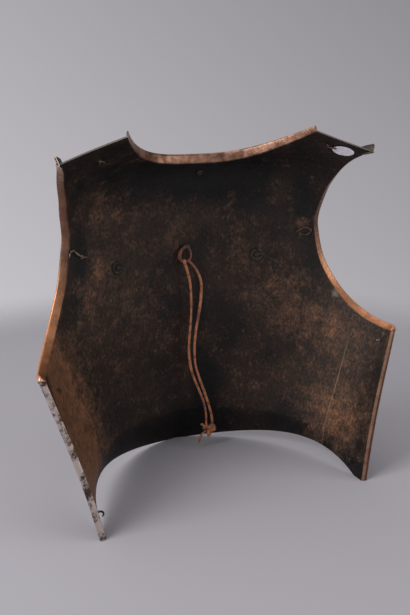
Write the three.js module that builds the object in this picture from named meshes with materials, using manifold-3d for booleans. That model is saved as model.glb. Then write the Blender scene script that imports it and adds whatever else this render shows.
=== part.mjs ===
// A steel breastplate for the front of the body: one thin plate, hollow at the back, with a
// flared skirt below the waist, turned borders at neck and arms and narrow rolled edges at the
// flanks. Rivets, studs and split pins pass through it, and a leather lace hangs inside.
// Millimetres, x across, y forwards (the hollow faces -y), z up from the floor.

import * as THREE from 'three';
import { mergeVertices } from 'three/addons/utils/BufferGeometryUtils.js';
import Module from 'manifold-3d';

const wasm = await Module();
wasm.setup();

// ---- Driving dimensions ---------------------------------------------------------------------

const SHEET = 1.5; // thickness of the plate
const GAP = 0.35; // left between pieces that touch
const REAR_TO_CENTRE = 93.68; // from the rear corners' line to the middle of the depth

// Horizontal sections of the plate's inner face. Each is half a superellipse: halfWidth across,
// depth forwards of the line y = back, and power 2 is an ellipse while less is more pointed.
const SECTIONS = [
  { height: 0, halfWidth: 142, depth: 166, back: 2, power: 1.83 },
  { height: 44, halfWidth: 152, depth: 159, back: 6, power: 1.85 },
  { height: 90, halfWidth: 165, depth: 153, back: 9, power: 1.87 },
  { height: 156, halfWidth: 188, depth: 147, back: 7, power: 1.87 },
  { height: 210, halfWidth: 208, depth: 151, back: -1, power: 1.95 },
  { height: 260, halfWidth: 219, depth: 159, back: -14, power: 2.03 },
  { height: 300, halfWidth: 222, depth: 168, back: -29, power: 1.93 },
  { height: 332, halfWidth: 221, depth: 171, back: -48, power: 1.78 },
  { height: 350, halfWidth: 220, depth: 165, back: -67, power: 1.72 },
  { height: 370, halfWidth: 218, depth: 157, back: -90, power: 1.6 },
];

const FLANK = { top: 156, rearAtFloor: 3.3, rearAtTop: 27 }; // the straight rear edge
const ARMHOLE = {
  centreY: 27, centreZ: 255, reach: 84.6, below: 99, above: 90.5,
  powerBelow: 2.14, powerAbove: 1.86, topAngle: 79,
};
const NECK = { centreHeight: 331, rise: 34.6, halfWidth: 97.5, risePower: 3 };
const WAIST = { height: 44, sideDrop: 30, dropPower: 3 };
const SKIRT = { flare: 15, flarePower: 1.5, flareRise: 1.2, arch: 18, archEnd: 0.94, archPower: 1.6 };
const RIDGE = { rise: 1.5, halfWidth: 10, fadeFrom: 225, fadeTo: 300 }; // the medial ridge, a shallow V

// Turned borders: the angle turned outwards, the width, the radius of the rolled edge and how
// far the roll laps back. Neck and armhole borders narrow by endLoss towards the shoulder, and
// the armhole's turns by endTurn more there than at the flank.
const NECK_BORDER = { turn: 60, endTurn: 0, width: 11, endLoss: 4.5, roll: 2.2, lap: 4 };
const ARM_BORDER = { turn: 37, endTurn: 40, width: 9.3, endLoss: 2.5, roll: 2.2, lap: 3.2 };
const FLANK_BORDER = { turn: 75, endTurn: 0, width: 7, endLoss: 0, roll: 1.8, lap: 2 };

// Counts of cells in the faceted plate
const CELLS = { neck: 12, shoulder: 6, flank: 6, armhole: 13, skirt: 3, corner: 4 };
const BLEND_POWER = 5; // how soon the waist's and the neckline's curves die out in the body

// Small fittings: where each goes through the plate, as x or y and z; left has negative x
const RIVETS = [
  { name: 'neck_rivet', x: 9, z: 321.5, head: 4.5, peen: 3.4, gap: 1.2 },
  { name: 'flank_rivet', x: 181.8, z: 150.8, head: 3.4, peen: 3, gap: 0.7 },
];
const CHEST_STUD = { x: 81, z: 227, head: 9, washer: 7.6, hole: 2.5 };
// Split pins; each leg is bent along the inside through these places, x and z from the hole
const PINS = [
  { name: 'arm_pin_left', x: -123.1, z: 245.5, head: 6.5,
    legs: [[[-1, 0.5], [-6.9, 4.2], [-13.2, 8.6], [-16.8, 7.4], [-18, 2.8]], [[1, 0], [4, -0.5]]] },
  { name: 'arm_pin_right', x: 125.5, z: 249.8, head: 6.5,
    legs: [[[1, 0], [7.6, 0.2], [10.6, 4.6], [5.3, 8.2], [-5.1, 3.4]]] },
  { name: 'shoulder_pin_left', x: -115.5, z: 344, head: 6.5,
    legs: [[[0.5, -0.5], [2, -2.5], [3.2, -5.4]], [[1.5, 0], [6, -1], [8.4, -4.8]]] },
  { name: 'shoulder_pin_right', x: 120, z: 350, head: 5,
    legs: [[[-0.2, 1], [-0.8, 3.4], [-1, 5.6]], [[1, -0.3], [5, -1.2], [8.6, -2.4]]] },
  { name: 'flank_pin_left', x: -165.5, z: 132.5, head: 6,
    legs: [[[-1, 0.5], [-5, 3], [-8.3, 4]], [[1, -0.5], [3.2, -1.5]]] },
  { name: 'flank_pin_right', x: 178.6, z: 143.2, head: 4,
    legs: [[[-1, 0], [-4, -0.6], [-6.5, -1.2]], [[1.5, 0.5], [3.2, 0.9]]] },
];
const PIN_WIRE = 0.9; // radius of a split pin's leg
const HOOK = { y: 24, z: 18, head: 5, wire: 1.1 };
const SHANK = 2; // radius of every shank
const SHANK_HOLE = 2.4;
const OPEN_HOLES = [{ x: 2, z: 289, radius: 1.6 }, { x: 2, z: 22, radius: 1.5 }];

// The leather lace: a loop through the plate, two strands that hang from it, and their knot
const LACE_HOLE = { x: 1.5, z: 241, radius: 3.2 };
const LACE_RADIUS = 1.55;
const LACE_LOOP = { halfWidth: 6.8, halfHeight: 8.6, x: -3.9, z: -7.7, stand: 4.9, shank: 2.2, stopper: 6 };
// Route of each strand from the loop down to the knot, chosen by hand
const LEFT_STRAND = [
  [-6.2, 139.4, 228], [-2.2, 139.9, 216.5], [1.2, 140.9, 204.5], [3.1, 142, 189.5],
  [3.6, 142.7, 171.3], [3.4, 142.9, 162], [2.9, 143.1, 152.8], [2, 143.3, 143],
  [1.2, 143.5, 133.1], [1.1, 143.7, 123], [1.8, 143.9, 112.8], [5.2, 144.3, 95.4],
  [12.2, 144.8, 77.2], [19.2, 145.2, 58.7], [22.6, 145.6, 43], [23, 145.8, 30.6],
];
const RIGHT_STRAND = [
  [-0.6, 139.4, 227.4], [6.2, 139.7, 219.4], [11.9, 140.6, 210], [15.2, 141.6, 199.6],
  [15.3, 142.5, 183.7], [14.2, 142.7, 174], [12.7, 142.9, 164.3], [9.4, 143.3, 145],
  [8.3, 143.5, 135], [7.8, 143.7, 125.2], [9.2, 144.1, 104.8], [14.3, 144.5, 87.1],
  [20.2, 144.9, 70.7], [25.6, 145.2, 54.1], [29.4, 145.6, 40.5], [30.8, 145.8, 30.6],
];
const KNOT = { x: 25.5, y: 144.8, z: 23 };

const LABEL = {
  x: 136.5, z: 345.2, halfLength: 11.7, halfHeight: 7.4, tilt: -26, thickness: 0.4, stand: 0.5,
};

const STEEL = { color: 0x3b2c24, roughness: 0.62, metalness: 0.85 };
const DARK_STEEL = { color: 0x2a2320, roughness: 0.55, metalness: 0.85 };
const LEATHER = { color: 0x8a4a2c, roughness: 0.7, metalness: 0 };
const PAPER = { color: 0xdedbe0, roughness: 0.9, metalness: 0 };

// ---- Numbers and closed solids --------------------------------------------------------------

const radians = THREE.MathUtils.degToRad;
const mix = THREE.MathUtils.lerp;
const vector = (x, y, z) => new THREE.Vector3(x, y, z);

/** Merges equal corners and drops faces that a merge has flattened. */
function welded(geometry) {
  const bare = geometry.index ? geometry.toNonIndexed() : geometry.clone();
  bare.deleteAttribute('normal');
  bare.deleteAttribute('uv');
  const merged = mergeVertices(bare, 1e-4);
  const kept = [];
  const index = merged.index.array;
  for (let k = 0; k < index.length; k += 3) {
    const [a, b, c] = [index[k], index[k + 1], index[k + 2]];
    if (a !== b && b !== c && c !== a) kept.push(a, b, c);
  }
  merged.setIndex(kept);
  return merged;
}

/** Six times the volume that a closed mesh's faces enclose; negative when they point inwards. */
function signedVolume(geometry) {
  const [position, index] = [geometry.attributes.position, geometry.index.array];
  const [a, b, c] = [vector(), vector(), vector()];
  let sum = 0;
  for (let k = 0; k < index.length; k += 3) {
    a.fromBufferAttribute(position, index[k]);
    b.fromBufferAttribute(position, index[k + 1]);
    c.fromBufferAttribute(position, index[k + 2]);
    sum += a.dot(b.cross(c));
  }
  return sum;
}

/** A closed geometry as a solid that can be joined and cut. */
function solid(geometry) {
  const closed = welded(geometry);
  const triVerts = Uint32Array.from(closed.index.array);
  if (signedVolume(closed) < 0) triVerts.reverse();
  const vertProperties = Float32Array.from(closed.attributes.position.array);
  return new wasm.Manifold(new wasm.Mesh({ numProp: 3, vertProperties, triVerts }));
}

/** A solid back as a three.js geometry. */
function geometryOf(body) {
  const mesh = body.getMesh();
  const geometry = new THREE.BufferGeometry();
  geometry.setAttribute('position', new THREE.BufferAttribute(mesh.vertProperties, 3));
  geometry.setIndex(new THREE.BufferAttribute(mesh.triVerts, 1));
  geometry.computeVertexNormals();
  return geometry;
}

const joined = (bodies) => bodies.reduce((whole, body) => whole.add(body));

/** A named mesh with a finish. */
function piece(name, geometry, finish) {
  const mesh = new THREE.Mesh(geometry, new THREE.MeshStandardMaterial(finish));
  mesh.name = name;
  return mesh;
}

// ---- The plate's inner face -----------------------------------------------------------------

/** Slope of one column of SECTIONS at row k, from its neighbours. */
function columnSlope(key, k) {
  const gap = (i) => SECTIONS[i + 1].height - SECTIONS[i].height;
  const rise = (i) => (SECTIONS[i + 1][key] - SECTIONS[i][key]) / gap(i);
  if (k === 0) return rise(0);
  if (k === SECTIONS.length - 1) return rise(k - 1);
  const [before, after] = [gap(k - 1), gap(k)];
  return (rise(k - 1) * after + rise(k) * before) / (before + after);
}

/** One column of SECTIONS at any height, on a smooth curve through its rows. */
function column(key, height) {
  let k = 0;
  while (k < SECTIONS.length - 2 && height > SECTIONS[k + 1].height) k += 1;
  const span = SECTIONS[k + 1].height - SECTIONS[k].height;
  const t = (height - SECTIONS[k].height) / span;
  const ease = t * t * (3 - 2 * t);
  return mix(SECTIONS[k][key], SECTIONS[k + 1][key], ease)
    + columnSlope(key, k) * span * t * (1 - t) ** 2
    - columnSlope(key, k + 1) * span * t * t * (1 - t);
}

const section = (height) => ({
  halfWidth: column('halfWidth', height),
  depth: column('depth', height),
  back: column('back', height),
  power: column('power', height),
});

/** A point of the inner face: angle 0 is the front, a right angle the side; x is positive. */
function facePoint(angle, height) {
  const s = section(height);
  const x = s.halfWidth * Math.sin(angle) ** (2 / s.power);
  const y = s.back + s.depth * Math.max(Math.cos(angle), 0) ** (2 / s.power);
  const fade = 1 - THREE.MathUtils.smoothstep(height, RIDGE.fadeFrom, RIDGE.fadeTo);
  return vector(x, y + fade * RIDGE.rise * Math.max(0, 1 - x / RIDGE.halfWidth), height);
}

function angleAtWidth(x, height) {
  const s = section(height);
  return Math.asin(Math.min(x / s.halfWidth, 1) ** (s.power / 2));
}

function angleAtDepth(y, height) {
  const s = section(height);
  return Math.acos(THREE.MathUtils.clamp((y - s.back) / s.depth, 0, 1) ** (s.power / 2));
}

/** The outward normal of the face, on the side with positive x. */
function faceNormal(angle, height) {
  const step = 0.02;
  const inner = Math.max(angle - step, 1e-4);
  const across = facePoint(angle + step, height).sub(facePoint(inner, height));
  const up = facePoint(angle, height + 1).sub(facePoint(angle, height - 1));
  return up.cross(across).normalize();
}

// ---- The plate's outline, each line as a list of { angle, height } --------------------------

const rearDepth = (height) => mix(FLANK.rearAtFloor, FLANK.rearAtTop, height / FLANK.top);

/** A point of the rear edge of the flank. */
function flankStation(height) {
  return { angle: angleAtDepth(rearDepth(height), height), height };
}

/** A point of the armhole: -90 degrees is the flank's top, topAngle the shoulder's end. */
function armholeStation(degrees) {
  const upper = degrees > 0;
  const power = upper ? ARMHOLE.powerAbove : ARMHOLE.powerBelow;
  const [sine, cosine] = [Math.sin(radians(degrees)), Math.cos(radians(degrees))];
  const y = ARMHOLE.centreY + ARMHOLE.reach * Math.abs(cosine) ** (2 / power);
  const spread = upper ? ARMHOLE.above : ARMHOLE.below;
  const height = ARMHOLE.centreZ + Math.sign(sine) * spread * Math.abs(sine) ** (2 / power);
  return { angle: angleAtDepth(y, height), height };
}

/** The side of the plate, from the waist up the flank and round the armhole. */
function sideStations() {
  const waistEnd = WAIST.height - WAIST.sideDrop;
  const nearTop = FLANK.top - 2.5;
  const stations = [];
  for (let k = 0; k < CELLS.flank; k += 1) {
    stations.push(flankStation(mix(waistEnd, nearTop, k / (CELLS.flank - 1))));
  }
  for (let k = 0; k <= CELLS.armhole; k += 1) {
    stations.push(armholeStation(mix(-90, ARMHOLE.topAngle, k / CELLS.armhole)));
  }
  return stations;
}

/** The waist, at share u of the way from the front to the rear edge. */
function waistStation(u) {
  const height = WAIST.height - WAIST.sideDrop * u ** WAIST.dropPower;
  return { angle: u * flankStation(height).angle, height };
}

/** The top of the plate: neckline, then the straight shoulder. */
function topStation(u, shoulderEnd) {
  const neckShare = CELLS.neck / (CELLS.neck + CELLS.shoulder);
  if (u <= neckShare) {
    const s = u / neckShare;
    const height = NECK.centreHeight + NECK.rise * s ** NECK.risePower;
    return { angle: angleAtWidth(NECK.halfWidth * s, height), height };
  }
  const s = (u - neckShare) / (1 - neckShare);
  const end = facePoint(shoulderEnd.angle, shoulderEnd.height);
  const height = mix(NECK.centreHeight + NECK.rise, end.z, s);
  return { angle: angleAtWidth(mix(NECK.halfWidth, end.x, s), height), height };
}

/** Blends the four outlines into the station at share u across and row j up. */
function bodyStation(u, v, side) {
  const shoulderEnd = side.at(-1).station;
  const [low, high] = [waistStation(u), topStation(u, shoulderEnd)];
  const edge = side.find((row) => row.share === v).station;
  const lowRear = waistStation(1);
  const blend = (key, front) => mix(front(v), edge[key], u)
    + (1 - v) ** BLEND_POWER * (low[key] - mix(front(0), lowRear[key], u))
    + v ** BLEND_POWER * (high[key] - mix(front(1), shoulderEnd[key], u));
  return {
    angle: blend('angle', () => 0),
    height: blend('height', (t) => mix(WAIST.height, NECK.centreHeight, t)),
  };
}

/** The side's stations with the share of its length at which each lies. */
function sideRows() {
  let length = 0;
  let before = null;
  const rows = sideStations().map((station) => {
    const point = facePoint(station.angle, station.height);
    if (before) length += point.distanceTo(before);
    before = point;
    return { station, share: length };
  });
  return rows.map((row) => ({ station: row.station, share: row.share / length }));
}

/** A point of the skirt: w is 0 at the waist and 1 at the lower edge. */
function skirtPoint(u, w) {
  const waist = waistStation(u).height;
  const share = Math.min(u / SKIRT.archEnd, 1);
  const arch = share < 1 ? SKIRT.arch * Math.sin(Math.PI * share ** SKIRT.archPower) : 0;
  const height = mix(waist, arch, w);
  const angle = u * flankStation(height).angle;
  const outward = faceNormal(angle, Math.max(height, 1)).setZ(0).normalize();
  if (u === 0) outward.set(0, 1, 0);
  const flare = SKIRT.flare * (1 - u) ** SKIRT.flarePower * w ** SKIRT.flareRise;
  return facePoint(angle, height).addScaledVector(outward, flare);
}

// ---- Sheet metal: grids of points, turned borders and thickness ------------------------------

const mirrored = (point) => vector(-point.x, point.y, point.z);

/** The outline of a turned border at a share of its line, as steps off the plate and outwards. */
function borderProfile({ turn, endTurn, width, endLoss, roll, lap }, share) {
  const angle = turn + endTurn * share ** 1.5;
  const reach = width - endLoss * share ** 3;
  const lapped = (lap * reach) / width;
  const [sine, cosine] = [Math.sin(radians(angle)), Math.cos(radians(angle))];
  const bend = 0.18 * reach;
  const start = [bend * Math.cos(radians(angle / 2)), bend * Math.sin(radians(angle / 2))];
  const place = (along, over) => [
    start[0] + along * cosine - over * sine,
    start[1] + along * sine + over * cosine,
  ];
  const straight = reach - bend - roll;
  const points = [start, place(straight, 0)];
  for (const degrees of [60, 120, 180]) {
    const swing = radians(degrees);
    points.push(place(straight + roll * Math.sin(swing), roll * (1 - Math.cos(swing))));
  }
  points.push(place(straight - lapped, 2 * roll));
  return points;
}

/** Rows of points for a border along a line of stations; away points off the plate. */
function borderRows(line, border) {
  return line.map(({ point, normal, away }, k) => {
    const step = ([along, out]) => point.clone().addScaledVector(away, along).addScaledVector(normal, out);
    return [point, ...borderProfile(border, k / (line.length - 1)).map(step)];
  });
}

/** Rows that turn a border round a corner of the plate, from one line's end to another's start. */
function cornerRows(from, to, before, after) {
  const [first, last] = [borderProfile(before, 1), borderProfile(after, 0)];
  return Array.from({ length: CELLS.corner - 1 }, (_, k) => {
    const share = (k + 1) / CELLS.corner;
    const swing = radians(90 * share);
    const away = from.away.clone().multiplyScalar(Math.cos(swing)).addScaledVector(to.away, Math.sin(swing));
    const normal = from.normal.clone().lerp(to.normal, share).normalize();
    const steps = first.map(([along, out], i) => [
      mix(along, last[i][0], share),
      mix(out, last[i][1], share),
    ]);
    const place = ([along, out]) => {
      const shifted = from.point.clone().addScaledVector(away, along);
      return shifted.addScaledVector(normal, out);
    };
    return [from.point, ...steps.map(place)];
  });
}

/** Points of a line with the plate's normal and the direction off the plate at each. */
function framedLine(stations, points, offPlate) {
  return points.map((point, k) => {
    const tangent = points[Math.min(k + 1, points.length - 1)].clone().sub(points[Math.max(k - 1, 0)]);
    const normal = faceNormal(stations[k].angle, stations[k].height);
    if (stations[k].angle === 0) normal.setX(0).normalize();
    const away = tangent.cross(normal).normalize();
    if (away.dot(offPlate) < 0) away.negate();
    return { point, normal, away };
  });
}

/** Faces a, b, c, d of a grid of points, rows upwards and columns to the right. */
function gridFaces(rows) {
  const faces = [];
  for (let j = 0; j + 1 < rows.length; j += 1) {
    for (let i = 0; i + 1 < rows[j].length; i += 1) {
      faces.push([rows[j][i], rows[j][i + 1], rows[j + 1][i + 1], rows[j + 1][i]]);
    }
  }
  return faces;
}

const transposed = (rows) => rows[0].map((_, i) => rows.map((row) => row[i]));

/** Gives a skin of four-sided faces a thickness outwards and closes its free edges. */
function thickened(faces, thickness, levelHeight) {
  const keyOf = (p) => `${Math.round(p.x * 1e3)},${Math.round(p.y * 1e3)},${Math.round(p.z * 1e3)}`;
  const numbers = new Map();
  const corners = [];
  const numberOf = (p) => {
    const key = keyOf(p);
    if (!numbers.has(key)) {
      numbers.set(key, corners.length);
      corners.push({ point: p.clone(), normal: vector(0, 0, 0) });
    }
    return numbers.get(key);
  };
  const shortWay = (face) => {
    const [a, b, c, d] = face;
    return a.distanceTo(c) <= b.distanceTo(d) + 1e-6 ? face : [b, c, d, a];
  };
  const cells = faces.map((face) => shortWay(face).map(numberOf));
  for (const [a, b, c, d] of cells) {
    const first = corners[c].point.clone().sub(corners[a].point);
    const second = corners[d].point.clone().sub(corners[b].point);
    const outward = second.cross(first).normalize();
    for (const n of [a, b, c, d]) corners[n].normal.add(outward);
  }
  for (const corner of corners) {
    if (corner.point.z < levelHeight(corner.point)) corner.normal.setZ(0);
    corner.normal.normalize();
  }
  const count = corners.length;
  const outer = corners.map(({ point, normal }) => point.clone().addScaledVector(normal, thickness));
  const positions = [...corners.map(({ point }) => point), ...outer].flatMap((point) => point.toArray());
  const index = [];
  const edges = new Map();
  for (const [a, b, c, d] of cells) {
    index.push(a, b, c, a, c, d);
    index.push(count + c, count + b, count + a, count + d, count + c, count + a);
    for (const [from, to] of [[a, b], [b, c], [c, d], [d, a]]) edges.set(`${from},${to}`, [from, to]);
  }
  for (const [from, to] of edges.values()) {
    if (edges.has(`${to},${from}`)) continue;
    index.push(to, from, count + from, to, count + from, count + to);
  }
  const geometry = new THREE.BufferGeometry();
  geometry.setAttribute('position', new THREE.Float32BufferAttribute(positions, 3));
  geometry.setIndex(index);
  return geometry;
}

// ---- The plate ------------------------------------------------------------------------------

const pointAt = (station) => facePoint(station.angle, station.height);

/** Every face of the plate's inner skin. */
function plateSkin() {
  const half = CELLS.neck + CELLS.shoulder;
  const side = sideRows();
  const columns = Array.from({ length: 2 * half + 1 }, (_, i) => i - half);
  const across = (make) => columns.map((i) => (i < 0 ? mirrored(make(-i / half)) : make(i / half)));
  const body = side.map((row) => across((u) => pointAt(bodyStation(u, row.share, side))));

  const skirt = [];
  for (let k = CELLS.skirt; k > 0; k -= 1) skirt.push(across((u) => skirtPoint(u, k / CELLS.skirt)));
  skirt.push(body[0]);

  const neckEnd = half + CELLS.neck + 1;
  const top = columns.slice(half, neckEnd).map((i) => topStation(i / half, side.at(-1).station));
  const neckPoints = body.at(-1).slice(half, neckEnd);
  const neckLine = framedLine(top, neckPoints, vector(0, 0, 1));
  const neckHalf = borderRows(neckLine, NECK_BORDER);
  const neck = [...neckHalf.slice(1).reverse().map((row) => row.map(mirrored)), ...neckHalf];

  const armSide = side.slice(CELLS.flank);
  const armPoints = body.slice(CELLS.flank).map((row) => row.at(-1));
  const armLine = framedLine(armSide.map((row) => row.station), armPoints, vector(0.3, -1, 0.2));
  armLine[0].away.set(0, 0, 1);
  const arm = borderRows(armLine, ARM_BORDER);

  const flankRows = [...skirt.slice(0, -1), ...body.slice(0, CELLS.flank + 1)];
  const flankPoints = flankRows.map((row) => row.at(-1));
  const flankStations = flankPoints.map((point) => flankStation(point.z));
  const flankLine = framedLine(flankStations, flankPoints, vector(0, -1, 0));
  for (const spot of flankLine) spot.normal.setZ(0).normalize();
  for (const spot of flankLine) spot.away.set(spot.normal.y, -spot.normal.x, 0);
  const flank = borderRows(flankLine, FLANK_BORDER);
  const corner = cornerRows(flankLine.at(-1), armLine[0], FLANK_BORDER, ARM_BORDER);

  const edge = [...flank, ...corner, ...arm];
  const leftEdge = edge.map((row) => row.map(mirrored).reverse());
  return [body, skirt, transposed(neck), edge, leftEdge].flatMap(gridFaces);
}

/** The frame of a fitting at x (or y) and z: its own x runs across, y outwards and z up. */
function fittingFrame({ x, y, z }, side = 1) {
  const angle = x === undefined ? angleAtDepth(y, z) : angleAtWidth(Math.abs(x), z);
  const point = facePoint(angle, z);
  const normal = faceNormal(angle, z);
  if (Math.abs(x) < RIDGE.halfWidth) normal.setX(0).normalize();
  const turn = x < 0 ? -side : side;
  point.x *= turn;
  normal.x *= turn;
  const across = normal.clone().cross(vector(0, 0, 1)).normalize();
  return new THREE.Matrix4().makeBasis(across, normal, across.clone().cross(normal)).setPosition(point);
}

const placed = (geometry, frame) => geometry.clone().applyMatrix4(frame);

/** A cutter through the plate. */
function drill(frame, radius) {
  return solid(placed(new THREE.CylinderGeometry(radius, radius, 12, 8), frame));
}

// ---- Fittings -------------------------------------------------------------------------------

/** A turned solid from a profile of [radius, height outwards] that starts and ends on the axis. */
function turned(profile, sides = 10) {
  return new THREE.LatheGeometry(profile.map(([r, h]) => new THREE.Vector2(r, h)), sides);
}

/** A domed outer head on a shank that ends inside the plate at height low. */
function headProfile(head, low) {
  const seat = SHEET + GAP;
  return [
    [0, low], [SHANK, low], [SHANK, seat], [head, seat], [head, seat + 0.8],
    [head * 0.62, seat + head * 0.44], [0, seat + head * 0.56],
  ];
}

/** A rivet: domed outside, hammered over inside. */
function rivet({ head, peen, gap }) {
  const inner = -gap;
  return turned([
    [0, inner - 1.6], [peen * 0.6, inner - 1.4], [peen, inner - 0.5], [peen, inner],
    ...headProfile(head, inner).slice(1),
  ]);
}

/** A dished washer round the stud's shank. */
function washer(radius, hole) {
  const low = -GAP;
  return turned([
    [hole, low], [radius, low], [radius, low - 1.4], [radius * 0.82, low - 1.9],
    [radius * 0.55, low - 1.1], [hole, low - 1], [hole, low],
  ], 14);
}

/** A stud: domed outside, its end hammered over the washer inside. */
function stud(head) {
  const inner = -GAP - 1.3;
  return turned([
    [0, inner - 1.9], [1.8, inner - 1.7], [3, inner - 0.9], [3, inner - 0.1],
    [SHANK, inner], ...headProfile(head, inner).slice(2),
  ]);
}

/** A round wire along a smooth curve through points. */
function wire(points, radius, steps, sides = 6) {
  const ring = new THREE.Shape();
  for (let k = 0; k < sides; k += 1) {
    const swing = (2 * Math.PI * k) / sides;
    const spot = [radius * Math.cos(swing), radius * Math.sin(swing)];
    if (k === 0) ring.moveTo(...spot);
    else ring.lineTo(...spot);
  }
  ring.closePath();
  const extrudePath = new THREE.CatmullRomCurve3(points.map((p) => vector(...p)), false, 'centripetal');
  return new THREE.ExtrudeGeometry(ring, { steps, extrudePath, bevelEnabled: false });
}

/** A split pin: domed head outside, legs bent flat along the inside. */
function splitPin({ head, legs }) {
  const lie = -GAP - PIN_WIRE - 0.9;
  const bent = legs.map((leg) => {
    const [[rootX, rootZ]] = leg;
    const root = [[rootX / 2, 0, rootZ / 2], [rootX / 2, lie + 0.6, rootZ / 2]];
    const course = [...root, ...leg.map(([x, z]) => [x, lie - 0.5, z])];
    return solid(wire(course, PIN_WIRE, 2 * leg.length + 1));
  });
  return joined([solid(turned(headProfile(head, -GAP - 0.5))), ...bent]);
}

/** A hook: domed head outside, one end that stands in and turns up inside. */
function hookPin({ head, wire: radius }) {
  const bend = [[0, 0, 0], [0, -3.5, -0.2], [0.4, -6, -2], [0.6, -6, -5], [0.4, -4.2, -6.6]];
  const stem = wire(bend, radius, 9);
  return joined([solid(turned(headProfile(head, -GAP - 0.4))), solid(stem)]);
}

/** The loop of lace through the plate, with its stopper outside. */
function laceLoop() {
  const { halfWidth, halfHeight, x, z, stand, shank, stopper } = LACE_LOOP;
  const ring = new THREE.TorusGeometry(halfWidth, LACE_RADIUS, 8, 18);
  ring.scale(1, halfHeight / halfWidth, 1).rotateX(Math.PI / 2).translate(x, -stand, z);
  const seat = SHEET + GAP;
  const length = stand + seat + 1;
  const stem = new THREE.CylinderGeometry(shank, shank, length, 10).translate(0, length / 2 - stand, 0);
  const button = turned([
    [0, seat], [stopper, seat], [stopper, seat + 1.6], [stopper * 0.66, seat + 2.6], [0, seat + 2.8],
  ]);
  return joined([solid(ring), solid(stem), solid(button)]);
}

/** The knot: two lumps of tied lace and its two short ends. */
function laceKnot() {
  const lump = (width, depth, height, x, z) => {
    const ball = new THREE.SphereGeometry(1, 10, 7);
    return solid(ball.scale(width, depth, height).translate(KNOT.x + x, KNOT.y, KNOT.z + z));
  };
  const end = (points) => {
    const route = points.map(([x, z]) => [KNOT.x + x, KNOT.y, KNOT.z + z]);
    return solid(wire(route, LACE_RADIUS * 0.85, 4, 8));
  };
  const shortEnd = end([[-2, 2], [-6, 5.5], [-9.5, 8.2]]);
  const longEnd = end([[-3, -2], [-8, -5], [-11, -10], [-12.3, -15.5]]);
  return joined([lump(6, 4.6, 7.6, -1, -0.8), lump(5.4, 4.8, 5, 4.2, 1), shortEnd, longEnd]);
}

/** A blank oval paper label that follows the plate's inner face. */
function label() {
  const frame = fittingFrame(LABEL);
  const tilt = radians(LABEL.tilt);
  const spot = (reach, swing) => {
    const flat = vector(LABEL.halfLength * Math.cos(swing), 0, LABEL.halfHeight * Math.sin(swing));
    const { x, z } = flat.multiplyScalar(reach).applyAxisAngle(vector(0, -1, 0), tilt).applyMatrix4(frame);
    const angle = angleAtWidth(x, z);
    return facePoint(angle, z).addScaledVector(faceNormal(angle, z), -LABEL.stand - LABEL.thickness);
  };
  const faces = [];
  const sides = 20;
  const step = (2 * Math.PI) / sides;
  const [middle, rim] = [0.5, 1].map((reach) => (k) => spot(reach, k * step));
  for (let k = 0; k < sides; k += 1) faces.push([middle(k + 1), rim(k + 1), rim(k), middle(k)]);
  for (let k = 0; k < sides; k += 2) faces.push([spot(0, 0), middle(k + 2), middle(k + 1), middle(k)]);
  return thickened(faces, LABEL.thickness, () => -1);
}

// ---- Assembly -------------------------------------------------------------------------------

const breastplate = new THREE.Group();
breastplate.position.y = -REAR_TO_CENTRE;
const holes = [];

/** Adds a fitting at its frame and drills its hole, if it has one. */
function fit(name, body, frame, finish = DARK_STEEL, hole = SHANK_HOLE) {
  const shape = body.isBufferGeometry ? body : geometryOf(body);
  breastplate.add(piece(name, geometryOf(solid(placed(shape, frame))), finish));
  if (hole > 0) holes.push(drill(frame, hole));
}

for (const [name, side] of [['left', -1], ['right', 1]]) {
  const chest = fittingFrame(CHEST_STUD, side);
  fit(`chest_washer_${name}`, washer(CHEST_STUD.washer, CHEST_STUD.hole), chest, DARK_STEEL, 0);
  fit(`chest_stud_${name}`, stud(CHEST_STUD.head), chest);
  fit(`low_hook_${name}`, hookPin(HOOK), fittingFrame(HOOK, side));
}
for (const pin of PINS) fit(pin.name, splitPin(pin), fittingFrame(pin));
for (const row of RIVETS) fit(row.name, rivet(row), fittingFrame(row));
fit('lace_loop', laceLoop(), fittingFrame(LACE_HOLE), LEATHER, LACE_HOLE.radius);
for (const hole of OPEN_HOLES) holes.push(drill(fittingFrame(hole), hole.radius));

const lowerEdge = (point) => (point.z < SKIRT.arch + 1 ? point.z + 1 : -1);
const sheet = solid(thickened(plateSkin(), SHEET, lowerEdge));
const plate = holes.reduce((whole, hole) => whole.subtract(hole), sheet);
breastplate.add(piece('plate', geometryOf(plate), STEEL));

breastplate.add(piece('lace_left', welded(wire(LEFT_STRAND, LACE_RADIUS, 28, 8)), LEATHER));
breastplate.add(piece('lace_right', welded(wire(RIGHT_STRAND, LACE_RADIUS, 28, 8)), LEATHER));
breastplate.add(piece('lace_knot', geometryOf(laceKnot()), LEATHER));
breastplate.add(piece('label', label(), PAPER));

export default breastplate;
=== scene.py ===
"""A worn steel breastplate standing on its flanks' rear corners, seen from its hollow side.

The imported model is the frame: everything here rides on its one body and keeps its places.
Shapes are worked out in millimetres, x across, y forwards from the rear corners' line and z up
from the floor, and are turned into the frame's metres as each mesh is made.
"""

import logging
import math
from dataclasses import dataclass
from enum import Enum
from functools import partial
from typing import Any, Callable, Sequence

import bpy
import numpy as np
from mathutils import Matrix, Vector, noise
from mathutils.kdtree import KDTree


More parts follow.
